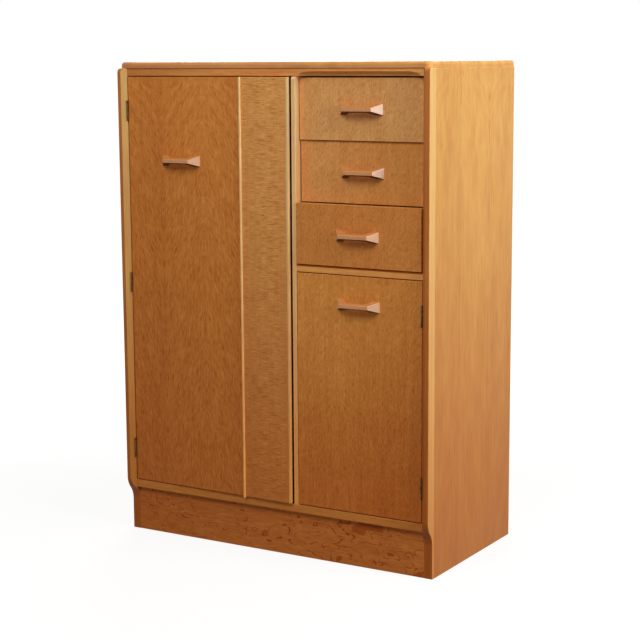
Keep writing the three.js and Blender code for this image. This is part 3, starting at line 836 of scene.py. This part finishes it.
def door_oak(name):
    """Wide veneer of the tall door: matched leaves, whose leaning ticks make arrows at the joints."""
    wood = Wood(name, colours().door_high, colours().door_low, Z)
    wood.darken(wood.span(wood.across, -0.33, -0.3, 1.0, 0.0), 0.05)
    wood.matched(sizes().door_joint, sizes().veneer_leaf, 0.02, 0.03)
    middling = wood.math("MULTIPLY", wood.span(wood.along, 0.25, 0.6), wood.span(wood.across, 0.04, 0.12))
    wood.darken(middling, 0.045)
    wood.streaks(0.05)
    wood.slant(-0.14, -0.38, 0.4)
    wood.clouds(0.02, 0.07, 0.04)
    wood.ticks(0.0036, 0.024, 0.15, 0.09)
    wood.ticks(0.0028, 0.014, 0.14, 0.11, 7.3)
    return wood.finished(0.4)


def band_oak(name):
    """Narrow veneer of the tall door, with short level ticks down its middle."""
    wood = Wood(name, colours().band_high, colours().band_low, Z)
    from_middle = wood.math("ABSOLUTE", wood.math("SUBTRACT", wood.across, 0.004))
    middle = wood.span(from_middle, 0.02, 0.05, 1.0, 0.25)
    wood.darken(wood.span(wood.across, -0.07, -0.02, 1.0, 0.0), 0.04)
    wood.streaks(0.05)
    wood.clouds(0.03, 0.09, 0.03)
    wood.ticks(0.0034, 0.032, 0.15, 0.12, flat=True, where=middle)
    wood.ticks(0.0026, 0.018, 0.15, 0.13, 2.9, flat=True)
    return wood.finished(0.4)


def drawer_oak(name):
    """Veneer of the drawer fronts, in three leaves. The middle drawer darkens to the right."""
    low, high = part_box("drawer_middle_front")
    # Painted shade: the lowest drawer takes the darker low colour, and the two above it take the paler high
    # one
    wood = Wood(name, colours().drawer_high, colours().drawer_low, Z, heights=(low.z - 2 * MM, low.z))
    middle = wood.within(wood.along, low.z, high.z)
    to_right = wood.math("MULTIPLY", middle, wood.span(wood.across, 0.1, 0.38, 0.5, 1.0))
    redder = (0.92, 0.77, 0.56, 1)
    wood.colour = wood.times(wood.colour, redder, to_right)
    wood.slant(0.35)
    wood.clouds(0.03, 0.07, 0.02)
    wood.ticks(0.0036, 0.015, 0.1, 0.07)
    wood.ticks(0.0028, 0.009, 0.13, 0.09, 4.1)
    wood.matched(sizes().bay_joint, sizes().veneer_leaf, -0.035, 0.07)
    wood.streaks(0.05)
    return wood.finished(0.4)


def cupboard_oak(name):
    """Veneer of the small door, straight with fine ticks, and darker to the right."""
    wood = Wood(name, colours().cupboard_high, colours().cupboard_low, Z, heights=(0.14, 0.72))
    wood.darken(wood.span(wood.across, 0.17, 0.33), 0.07)
    wood.matched(sizes().bay_joint, sizes().veneer_leaf, 0.02, 0.05)
    wood.streaks(0.08)
    wood.slant(-0.12, -1.2, 0.45)
    wood.clouds(0.02, 0.1, 0.03)
    wood.ticks(0.0036, 0.02, 0.1, 0.07)
    wood.ticks(0.0028, 0.01, 0.14, 0.1, 5.1)
    return wood.finished(0.42)


def hinge_brass(name):
    """Old brass, dulled in patches."""
    made = bpy.data.materials.new(name)
    web = Web(fresh_tree(made))
    place = web.node("TexCoord").outputs["Object"]
    patches = web.span(web.noise(web.scaled(place, (260.0, 260.0, 120.0)), 4.0, 0.6), 0.35, 0.65)
    worn = web.node("Attribute", attribute_name=WORN).outputs["Fac"]
    rubbed = web.effect("wear", {"Worn": worn, "Vector": place})["Mask"]
    dull = (*shade(68, 44, 28), 1)
    bright = (*shade(190, 160, 104), 1)
    shown = web.mix(patches, dull, (*colours().brass, 1))
    shown = web.mix(web.math("MULTIPLY", rubbed, 0.5), shown, bright)
    roughness = web.span(patches, 0.0, 1.0, 0.55, 0.36)
    bump = web.node("Bump", {"Height": patches, "Strength": 0.2, "Distance": 0.05 * MM})
    inputs = {"Base Color": shown, "Roughness": roughness, "Metallic": 1.0, "Normal": bump.outputs[0]}
    web.show(web.node("BsdfPrincipled", inputs))
    return made


# Finishes that have a function of their own
OWN = (
    side_oak,
    lipping_oak,
    top_oak,
    rail_oak,
    plinth_oak,
    door_oak,
    band_oak,
    drawer_oak,
    cupboard_oak,
    hinge_brass,
)
FINISHES = {maker.__name__: maker for maker in OWN}

# Plain woods: the names of their high and low colours, the axes along and across the grain, how deep the
# streaks are, the width, length and depth of the clouds, and the roughness
PLAIN = {
    # Pale strips that stand out in the front: the partition's nose, the bead and the tall door's edge, paler
    # than the veneers partly as painted light for the lamp that they catch
    "edge_oak": ("edge_high", "edge_low", (Z, X), 0.08, (0.02, 0.2, 0.05), 0.4),
    # Painted shade: front faces of the solid strips, and the right strip's slant that faces away from the
    # lamp, made darker than the strips' sides
    "handled_oak": ("handled_high", "handled_low", (Z, X), 0.1, (0.02, 0.2, 0.08), 0.42),
    # Painted shade: wood made dark in the gap beside the tall door, where the partition's nose casts its
    # shadow
    "shaded_wood": ("shaded", "shaded", (Z, X), 0.1, (0.02, 0.2, 0.08), 0.8),
    # Pulls, smooth from hands, with their splayed ends pale as a painted highlight and their undersides dark
    # as painted shade
    "pull_oak": ("pull", "pull", (X, Z), 0.07, (0.01, 0.04, 0.04), 0.24),
    "pull_ends": ("pull_end", "pull_end", (X, Z), 0.04, (0.01, 0.02, 0.05), 0.2),
    "pull_undersides": ("pull_under", "pull_under", (X, Z), 0.07, (0.01, 0.04, 0.08), 0.4),
    # Bare wood inside: upright, from front to back, and from side to side
    "lining_wood": ("lining", "lining", (Z, X), 0.1, (0.05, 0.25, 0.08), 0.62),
    "lining_wood_level": ("lining", "lining", (Y, Z), 0.1, (0.03, 0.2, 0.08), 0.62),
    "lining_wood_cross": ("lining", "lining", (X, Z), 0.1, (0.03, 0.2, 0.08), 0.6),
    "plywood": ("ply", "ply", (Z, X), 0.12, (0.06, 0.5, 0.12), 0.65),
}

# Relief in millimetres, and gloss, of the plain woods that differ from the others in these
POLISH = {
    "pull_oak": {"relief": 0.01, "gloss": 0.8},
    "pull_ends": {"relief": 0.01, "gloss": 1.0},
    "pull_undersides": {"relief": 0.01},
}


def plain_wood(kind, name):
    """One of the plain woods."""
    high, low, axes, streaks, clouds, roughness = PLAIN[kind]
    wood = Wood(name, getattr(colours(), high), getattr(colours(), low), *axes)
    wood.streaks(streaks)
    wood.clouds(*clouds)
    return wood.finished(roughness, **POLISH.get(kind, {}))


def finish(kind):
    """The material of a finish, made when it is first asked for."""
    name = "finish_" + kind
    made = bpy.data.materials.get(name)
    if made:
        return made
    if kind in PLAIN:
        return plain_wood(kind, name)
    return FINISHES[kind](name)


# Operators, one for each piece or group of like pieces


class CHIFFOROBE_OT_sides(bpy.types.Operator):
    """Makes the two side boards, each with its solid front strip"""

    bl_idname = "chifforobe.sides"
    bl_label = "Sides"

    # The least part of a face's normal that counts as slanting to the side, and as facing the front
    SLANTED = 0.3
    FRONTAL = 0.5

    def whole_side(self, sign, low, high):
        """A side with its strip, in one, on the left if the sign is negative."""
        given = sizes()
        foot = low.y + given.foot_setback
        outline = [
            (high.y, low.z),
            (high.y, high.z),
            (low.y, high.z),
            (low.y, given.foot_curve_top),
            (foot, given.foot_curve_bottom),
            (foot, low.z),
        ]
        bends = outline[3:5]
        bm = prism(outline, X, low.x, high.x)

        def at_bend(edge):
            return any(lies_at(edge, y=y, z=z) for y, z in bends)

        round_edges(bm, given.foot_curve_round, at_bend, segments=8)
        round_edges(bm, given.side_top_corner, lambda e: lies_at(e, y=low.y, z=high.z), segments=6)
        layer = bm.faces.layers.float[WORN]
        for face in bm.faces:
            face[layer] = 0
        outer = high.x if sign > 0 else low.x

        def outer_front_or_top(edge):
            middle = (edge.verts[0].co + edge.verts[1].co) / 2
            return lies_at(edge, x=outer) and (middle.y < foot + MM or middle.z > high.z - MM)

        round_edges(bm, given.side_arris, outer_front_or_top, segments=5)
        ridge = Vector((outer - sign * given.side_front_flat, low.y, 0))
        cut_off(bm, ridge, Vector((-sign, -1, 0)))
        round_edges(bm, given.arris, lambda e: lies_at(e, x=ridge.x, y=ridge.y), segments=2)
        return bm

    def make_side(self, word, sign):
        """The strip and the board of one side, cut from the same shape where the strip ends."""
        low, strip_end = node_box("side_lipping_" + word)
        high = Vector((strip_end.x, node_box("side_" + word)[1].y, strip_end.z))
        strip = self.whole_side(sign, low, high)
        cut_off(strip, strip_end, Vector((0, 1, 0)))

        # Painted shade: faces towards the front take the darker finish, except the left strip's slant, which
        # faces the lamp
        def handled(face):
            slants_in = sign * face.normal.x < -self.SLANTED
            return face.normal.y < -self.FRONTAL and (sign > 0 or not slants_in)

        give_second(strip, handled)
        nodes = ["side_lipping_" + word]
        finishes = ["lipping_oak", "handled_oak"]
        make_piece("side_strip_" + word, strip, "carcass", nodes, finishes)
        board = self.whole_side(sign, low, high)
        cut_off(board, strip_end, Vector((0, -1, 0)))
        make_piece("side_board_" + word, board, "carcass", ["side_" + word], ["side_oak"])

    def execute(self, context):
        self.make_side("left", -1)
        self.make_side("right", 1)
        return {"FINISHED"}


class CHIFFOROBE_OT_top(bpy.types.Operator):
    """Makes the top board, round at the front and the ends"""

    bl_idname = "chifforobe.top"
    bl_label = "Top board"

    # The least part of a face's normal that counts as facing an end
    AT_END = 0.7

    def execute(self, context):
        given = sizes()
        low, high = node_box("top_board")
        bm = block(low, high)
        round_edges(bm, given.top_corner, lambda e: upright_at(e, low.y), segments=8)

        def in_rim(edge, height):
            return lies_at(edge, z=height) and not lies_at(edge, y=high.y)

        round_edges(bm, given.top_edge, lambda e: in_rim(e, high.z), segments=7)
        round_edges(bm, given.arris, lambda e: in_rim(e, low.z), segments=2)
        for face in bm.faces:
            face.material_index = int(abs(face.normal.x) > self.AT_END)
        make_piece("top_plank", bm, "carcass", ["top_board"], ["top_oak", "side_oak"])
        return {"FINISHED"}


class CHIFFOROBE_OT_rails(bpy.types.Operator):
    """Makes the three rails, the upper one with a hollow over the drawers"""

    bl_idname = "chifforobe.rails"
    bl_label = "Rails"

    def scooped_rail(self):
        """The top rail's bmesh, with a hollow of round section that dies out at both ends."""
        given = sizes()
        low, high = node_box("top_rail")
        bay_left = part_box("partition_lipping")[1].x
        rail = block(low, high)
        round_edges(rail, given.arris, segments=2)
        start = bay_left + given.scoop_margin
        end = high.x - given.scoop_margin
        cutter = bmesh.new()
        bmesh.ops.create_uvsphere(cutter, u_segments=48, v_segments=24, radius=1)
        bmesh.ops.rotate(cutter, verts=cutter.verts, matrix=Matrix.Rotation(math.pi / 2, 3, "Y"))
        reach = (end - start) / 2 - given.scoop_runout
        for vert in cutter.verts:
            along = vert.co.x * given.scoop_runout
            vert.co.x = along + math.copysign(reach, along) if abs(along) > 0.1 * NEAR else along
            vert.co.y *= given.scoop_depth
            vert.co.z *= given.scoop_height
        middle = Vector(((start + end) / 2, low.y, low.z))
        bmesh.ops.translate(cutter, vec=middle, verts=cutter.verts)
        return without(rail, cutter)

    def execute(self, context):
        rail = self.scooped_rail()
        make_piece("top_rail_scooped", rail, "carcass", ["top_rail"], ["rail_oak"])
        plain_board("middle_rail_board", "middle_rail", "carcass", ["rail_oak"])
        plain_board("bottom_rail_board", "bottom_rail", "carcass", ["rail_oak"])
        return {"FINISHED"}


def without(bm, cutter):
    """A bmesh less what another one covers. Both are used up."""
    objects = []
    for word, one in (("kept", bm), ("cutter", cutter)):
        bmesh.ops.recalc_face_normals(one, faces=one.faces)
        objects.append(new_object(word, mesh_from(one, word)))
    kept, tool = objects
    cut = kept.modifiers.new("cut", "BOOLEAN")
    cut.operation = "DIFFERENCE"
    cut.solver = "EXACT"
    cut.object = tool
    shown = kept.evaluated_get(bpy.context.evaluated_depsgraph_get())
    result = bmesh.new()
    result.from_mesh(shown.to_mesh())
    shown.to_mesh_clear()
    for mesh in [one.data for one in objects]:
        bpy.data.meshes.remove(mesh)
    return result


class CHIFFOROBE_OT_plinth(bpy.types.Operator):
    """Makes the plinth board"""

    bl_idname = "chifforobe.plinth"
    bl_label = "Plinth"

    def execute(self, context):
        plain_board("plinth_board", "plinth_front", "carcass", ["plinth_oak"])
        return {"FINISHED"}


class CHIFFOROBE_OT_partition(bpy.types.Operator):
    """Makes the partition's solid round nose"""

    bl_idname = "chifforobe.partition"
    bl_label = "Partition"

    # The least part of a face's normal that counts as facing the gap beside the tall door, where the nose
    # takes the painted shade
    TOWARDS_GAP = 0.75

    def execute(self, context):
        given = sizes()
        low, high = node_box("partition_lipping")
        bm = block(low, high)
        round_edges(bm, given.partition_top, lambda e: lies_at(e, y=low.y, z=high.z), segments=6)

        def at_front_side(edge):
            first, second = (v.co for v in edge.verts)
            middle = (first + second) / 2
            at_front = middle.y < low.y + given.partition_top and middle.z > low.z + MM / 2
            return at_front and abs(first.x - second.x) < NEAR

        nearly_half = (high.x - low.x) / 2 - 2 * NEAR
        round_edges(bm, nearly_half, at_front_side, segments=6)
        # Painted shade: the nose's flank towards the tall door takes the dark gap finish
        give_second(bm, lambda f: f.normal.x < -self.TOWARDS_GAP)
        finishes = ["edge_oak", "shaded_wood"]
        make_piece("partition_nose", bm, "carcass", ["partition_lipping"], finishes)
        return {"FINISHED"}


class CHIFFOROBE_OT_insides(bpy.types.Operator):
    """Finishes the fixed boards and fittings behind the front"""

    bl_idname = "chifforobe.insides"
    bl_label = "Inner woodwork"

    def execute(self, context):
        dress(["partition"], "lining_wood")
        dress(["bottom_board", "plinth_back", "hanging_rail"], "lining_wood_cross")
        dress(["door_stop_wardrobe", "door_stop_cupboard"], "lining_wood_cross")
        for word in ("top", "middle", "bottom"):
            dress([f"runner_{word}_left", f"runner_{word}_right"], "lining_wood_level")
        dress(["middle_board", "back_panel"], "plywood")
        dress(["rail_socket_left", "rail_socket_right"], "hinge_brass")
        return {"FINISHED"}


class CHIFFOROBE_OT_wardrobe_door(bpy.types.Operator):
    """Makes the tall door: its veneered panel, the strip on its free edge and the bead"""

    bl_idname = "chifforobe.wardrobe_door"
    bl_label = "Tall door"

    # The least part of a face's normal that counts as facing the gap beside the door, where the edge's rear
    # part takes the painted shade
    TOWARDS_GAP = 0.9

    def execute(self, context):
        given = sizes()
        body = "wardrobe_door"
        bead_low, bead_high = node_box("wardrobe_door_bead", AJAR)
        panel = block(*node_box("wardrobe_door_panel", AJAR))
        round_edges(panel, given.arris, segments=2)
        veneers_meet = (bead_low.x + bead_high.x) / 2
        split_at(panel, (veneers_meet, 0, 0), (1, 0, 0))
        give_second(panel, lambda f: f.calc_center_median().x > veneers_meet)
        nodes = ["wardrobe_door_panel"]
        finishes = ["door_oak", "band_oak"]
        make_piece("tall_door_veneer", panel, body, nodes, finishes, AJAR)
        strip = block(*node_box("wardrobe_door_lipping", AJAR))
        round_edges(strip, given.arris, segments=2)
        # Painted shade: the free edge's face behind this depth takes the dark gap finish, for the shadow of
        # the partition's nose
        shaded_from = min(v.co.y for v in strip.verts) + given.unshaded_edge_depth
        split_at(strip, (0, shaded_from, 0), (0, 1, 0))

        def in_gap(face):
            return face.normal.x > self.TOWARDS_GAP and face.calc_center_median().y > shaded_from

        give_second(strip, in_gap)
        nodes = ["wardrobe_door_lipping"]
        finishes = ["edge_oak", "shaded_wood"]
        make_piece("tall_door_edge_strip", strip, body, nodes, finishes, AJAR)
        bead = block(bead_low, bead_high)
        round_edges(bead, given.bead_round, lambda e: upright_at(e, bead_low.y), segments=5)
        make_piece("tall_door_bead", bead, body, ["wardrobe_door_bead"], ["edge_oak"], AJAR)
        return {"FINISHED"}


class CHIFFOROBE_OT_cupboard_door(bpy.types.Operator):
    """Makes the small door's veneered panel"""

    bl_idname = "chifforobe.cupboard_door"
    bl_label = "Small door"

    def execute(self, context):
        plain_board("small_door_veneer", "cupboard_door_panel", "cupboard_door", ["cupboard_oak"])
        return {"FINISHED"}


class CHIFFOROBE_OT_drawers(bpy.types.Operator):
    """Makes the drawer fronts and finishes the drawer boxes"""

    bl_idname = "chifforobe.drawers"
    bl_label = "Drawers"

    def execute(self, context):
        for word in ("top", "middle", "bottom"):
            name = "drawer_" + word
            plain_board(name + "_face", name + "_front", name, ["drawer_oak"])
            dress([name + "_side_left", name + "_side_right"], "lining_wood_level")
            dress([name + "_back"], "lining_wood_cross")
            dress([name + "_bottom"], "plywood")
        return {"FINISHED"}


class CHIFFOROBE_OT_pulls(bpy.types.Operator):
    """Makes the five splayed pulls, and the screws that hold them from behind"""

    bl_idname = "chifforobe.pulls"
    bl_label = "Pulls"

    # Each pull's body, the board that carries it and how that is placed
    PULLS = (
        ("wardrobe_door", "wardrobe_door_panel", AJAR),
        ("cupboard_door", "cupboard_door_panel", SHUT),
        ("drawer_top", "drawer_top_front", SHUT),
        ("drawer_middle", "drawer_middle_front", SHUT),
        ("drawer_bottom", "drawer_bottom_front", SHUT),
    )
    # Radius, rise and rounding of a screw's head
    SCREW = (3.6 * MM, 2 * MM, 1.6 * MM)
    # The least part of a face's normal that counts as splayed to an end, and as facing down
    SPLAYED = 0.3
    DOWNWARDS = 0.6

    def pull(self, low, high):
        """A bar on two legs, cut from a block that narrows towards its front face."""
        given = sizes()
        middle = (low + high) / 2
        base = (high.x - low.x) / 2
        face = given.pull_face_width / 2
        slot_base = base - given.pull_leg_width
        slot_inner = given.pull_slot_width / 2
        bar_back = low.y + given.pull_bar_depth
        half_plan = [(base, high.y), (slot_base, high.y), (slot_inner, bar_back)]
        outline = [(middle.x + x, y) for x, y in half_plan]
        outline += [(middle.x - x, y) for x, y in reversed(half_plan)]
        outline += [(middle.x - face, low.y), (middle.x + face, low.y)]
        bm = prism(outline, Z, -1.0, 1.0)
        for vert in bm.verts:
            near_panel = (vert.co.y - low.y) / (high.y - low.y)
            half = given.pull_face_height / 2 + near_panel * (high.z - low.z - given.pull_face_height) / 2
            vert.co.z = middle.z + vert.co.z * half
        round_edges(bm, given.arris, lambda e: not lies_at(e, y=high.y))
        for one in bm.faces:
            outside = abs(one.calc_center_median().x - middle.x) > face
            # Painted highlight: the splayed ends take the pale finish
            one.material_index = int(outside and abs(one.normal.x) > self.SPLAYED)
            # Painted shade: faces that face down take the dark finish
            if one.normal.z < -self.DOWNWARDS:
                one.material_index = 2
        return bm

    def execute(self, context):
        for body, board, placed in self.PULLS:
            node = body + "_pull"
            piece = body + "_handle"
            low, high = node_box(node, placed)
            finishes = ["pull_oak", "pull_ends", "pull_undersides"]
            make_piece(piece, self.pull(low, high), body, [node], finishes, placed)
            back = node_box(board, placed)[1].y
            to_leg = (high.x - low.x - sizes().pull_leg_width) / 2
            bm = empty_bmesh()
            for sign in (-1, 1):
                leg = (low.x + high.x) / 2 + sign * to_leg
                place = Vector((leg, back, (low.z + high.z) / 2))
                add_screw(bm, place, Vector((0, 1, 0)), *self.SCREW)
            make_piece(piece + "_screws", bm, body, [], ["hinge_brass"], placed)
        return {"FINISHED"}


class CHIFFOROBE_OT_hinges(bpy.types.Operator):
    """Makes both halves of the five butt hinges"""

    bl_idname = "chifforobe.hinges"
    bl_label = "Hinges"

    # Each screw's height as a share of the leaf, and the way in which it is staggered
    SCREWS = ((0.18, 1), (0.5, -1), (0.82, 1))
    SCREW_SUNK = 0.35 * MM
    SCREW_RISE = 0.4 * MM
    # Each hinge's word, its door's body, the door's side of the pin, and how the door is placed
    HINGES = (
        ("wardrobe_top", "wardrobe_door", 1, AJAR),
        ("wardrobe_middle", "wardrobe_door", 1, AJAR),
        ("wardrobe_bottom", "wardrobe_door", 1, AJAR),
        ("cupboard_top", "cupboard_door", -1, SHUT),
        ("cupboard_bottom", "cupboard_door", -1, SHUT),
    )

    def half(self, pin, low, high, side, leaf_far, first):
        """One leaf with its knuckles. It lies on one side of the pin, with its far face at leaf_far."""
        given = sizes()
        radius = given.knuckle_radius
        count = given.knuckle_count
        length = (high.z - low.z - given.knuckle_gap * (count - 1)) / count
        near = leaf_far - given.leaf_thickness
        left, right = sorted((pin.x + side * near, pin.x + side * leaf_far))
        bm = block(Vector((left, pin.y + radius * 0.9, low.z)), Vector((right, high.y, high.z)))
        round_edges(bm, given.leaf_thickness / 4, segments=2)
        for i in range(first, count, 2):
            bottom = low.z + i * (length + given.knuckle_gap)
            top = bottom + length
            start = Vector((pin.x, pin.y, bottom))
            cylinder(bm, start, Vector((pin.x, pin.y, top)), radius, 24, radius / 10)
            tab_low = Vector((left, pin.y + given.pin_radius, bottom))
            take_in(bm, block(tab_low, Vector((right, pin.y + radius * 1.1, top))))
        leaf_middle = (pin.y + radius + high.y) / 2
        stagger = (high.y - pin.y) / 6
        for share_up, shift in self.SCREWS:
            height = low.z + (high.z - low.z) * share_up
            place = Vector((pin.x + side * near, leaf_middle + shift * stagger, height))
            place.x += side * self.SCREW_SUNK
            add_screw(bm, place, Vector((-side, 0, 0)), given.screw_radius, self.SCREW_RISE)
        return bm

    def execute(self, context):
        given = sizes()
        for word, body, door_side, placed in self.HINGES:
            pin = Vector(joint(body + "_hinge")["pos_m"])
            frame_node = "hinge_fixed_" + word
            door_node = "hinge_leaf_" + word
            low, high = node_box(frame_node)
            door_edge = node_box(body + "_panel", placed)[0 if door_side > 0 else 1].x
            half_gap = abs(door_edge - pin.x)
            half = self.half(pin, low, high, -door_side, half_gap, 0)
            pin_low = Vector((pin.x, pin.y, low.z))
            cylinder(half, pin_low, Vector((pin.x, pin.y, high.z)), given.pin_radius, 16)
            piece = f"{word}_hinge_frame_half"
            make_piece(piece, half, "carcass", [frame_node], ["hinge_brass"])
            low, high = node_box(door_node, placed)
            half = self.half(pin, low, high, door_side, half_gap - given.leaf_gap, 1)
            piece = f"{word}_hinge_door_half"
            make_piece(piece, half, body, [door_node], ["hinge_brass"], placed)
        return {"FINISHED"}


class CHIFFOROBE_OT_studio(bpy.types.Operator):
    """Sets up the floor, the lamps, the white surroundings and the camera"""

    bl_idname = "chifforobe.studio"
    bl_label = "Studio"

    # Distances from the cabinet's middle between which the floor turns from its glow to plain white
    GLOW_NEAR = 0.7
    GLOW_FAR = 2.6
    FLOOR_REACH = 60
    SENSOR_WIDTH = 36
    # Each lamp's place, the point that it faces, its width and its height
    LAMPS = {
        "key": ((3.0, -0.3, 1.8), (0.4, -0.1, 0.8), 1.8, 2.2),
        "fill": ((0.1, -2.7, 3.3), (0.0, -0.2, 0.7), 1.6, 1.4),
        "rear": ((-1.7, 3.0, 2.4), (0.0, 0.2, 0.6), 2.0, 2.0),
    }

    def floor(self, given):
        """A plain pale floor, which keeps the cabinet's shadow and looks white to the camera elsewhere."""
        bm = bmesh.new()
        bmesh.ops.create_grid(bm, x_segments=1, y_segments=1, size=self.FLOOR_REACH)
        mesh = mesh_from(bm, "studio_floor")
        made = bpy.data.materials.new("studio_floor")
        web = Web(fresh_tree(made))
        diffuse = web.node("BsdfDiffuse", {"Color": (*given.floor_colour, 1)})
        place = web.node("TexCoord").outputs["Object"]
        away = web.node("VectorMath", {0: place}, operation="LENGTH").outputs["Value"]
        brightness = web.span(away, self.GLOW_NEAR, self.GLOW_FAR, given.floor_glow, 1.0)
        glow = web.node("Emission", {"Strength": web.math("MULTIPLY", self.seen(web), brightness)})
        web.show(web.node("AddShader", {0: diffuse.outputs[0], 1: glow.outputs[0]}))
        mesh.materials.append(made)
        new_object("studio_floor", mesh)

    def seen(self, web):
        """1 where the camera looks, straight or by way of a gloss or glass, and else 0."""
        path = web.node("LightPath").outputs
        direct = web.math("MAXIMUM", path["Is Camera Ray"], path["Is Glossy Ray"])
        return web.math("MAXIMUM", direct, path["Is Transmission Ray"])

    def lamp(self, name, place, target, width, height, power):
        """A soft lamp that faces a target."""
        light = bpy.data.lights.new(name, "AREA")
        light.shape = "RECTANGLE"
        light.size = width
        light.size_y = height
        light.energy = power
        made = new_object(name, light)
        made.location = place
        made.rotation_mode = "QUATERNION"
        made.rotation_quaternion = (Vector(target) - Vector(place)).to_track_quat("-Z", "Y")

    def surroundings(self, given):
        """White for the camera and in reflections, and an even grey light for the rest."""
        world = bpy.data.worlds.new("surroundings")
        bpy.context.scene.world = world
        web = Web(fresh_tree(world))
        strength = web.span(self.seen(web), 0.0, 1.0, given.sky_light, 1.0)
        web.show(web.node("Background", {"Color": (1, 1, 1, 1), "Strength": strength}), "OutputWorld")

    def camera(self, given):
        """The camera, where the photograph was taken from."""
        data = bpy.data.cameras.new("camera")
        data.sensor_width = self.SENSOR_WIDTH
        data.lens = given.camera_reach * data.sensor_width
        made = new_object("camera", data)
        made.matrix_world = (
            Matrix.Translation(given.camera_place)
            @ Matrix.Rotation(given.camera_turn, 4, "Z")
            @ Matrix.Rotation(math.pi / 2 - given.camera_dip, 4, "X")
            @ Matrix.Rotation(-given.camera_roll, 4, "Z")
        )
        bpy.context.scene.camera = made

    def execute(self, context):
        given = context.scene.chifforobe_studio
        self.floor(given)
        self.surroundings(given)
        for word, shape in self.LAMPS.items():
            self.lamp(word + "_lamp", *shape, getattr(given, word + "_power"))
        self.camera(given)
        context.scene.view_settings.view_transform = "Standard"
        return {"FINISHED"}


OPERATORS = (
    CHIFFOROBE_OT_sides,
    CHIFFOROBE_OT_top,
    CHIFFOROBE_OT_rails,
    CHIFFOROBE_OT_plinth,
    CHIFFOROBE_OT_partition,
    CHIFFOROBE_OT_insides,
    CHIFFOROBE_OT_wardrobe_door,
    CHIFFOROBE_OT_cupboard_door,
    CHIFFOROBE_OT_drawers,
    CHIFFOROBE_OT_pulls,
    CHIFFOROBE_OT_hinges,
    CHIFFOROBE_OT_studio,
)


class CHIFFOROBE_PT_panel(bpy.types.Panel):
    """Lists the steps that make the chifforobe"""

    bl_idname = "CHIFFOROBE_PT_panel"
    bl_label = "Chifforobe"
    bl_space_type = "VIEW_3D"
    bl_region_type = "UI"
    bl_category = "Chifforobe"

    def draw(self, context):
        for operator in OPERATORS:
            self.layout.operator(operator.bl_idname)


SETTINGS = {
    "chifforobe_colours": ChifforobeColours,
    "chifforobe_sizes": ChifforobeSizes,
    "chifforobe_studio": ChifforobeStudio,
}


def register():
    """Registers the settings, the operators and the panel."""
    for name, group in SETTINGS.items():
        bpy.utils.register_class(group)
        setattr(bpy.types.Scene, name, PointerProperty(type=group))
    for made in (*OPERATORS, CHIFFOROBE_PT_panel):
        bpy.utils.register_class(made)


def unregister():
    """Takes back what register did."""
    for made in (CHIFFOROBE_PT_panel, *reversed(OPERATORS)):
        bpy.utils.unregister_class(made)
    for name, group in SETTINGS.items():
        delattr(bpy.types.Scene, name)
        bpy.utils.unregister_class(group)


def main():
    """Makes every piece and the studio."""
    register()
    for operator in OPERATORS:
        family, step = operator.bl_idname.split(".")
        getattr(getattr(bpy.ops, family), step)()


if __name__ == "__main__":
    main()
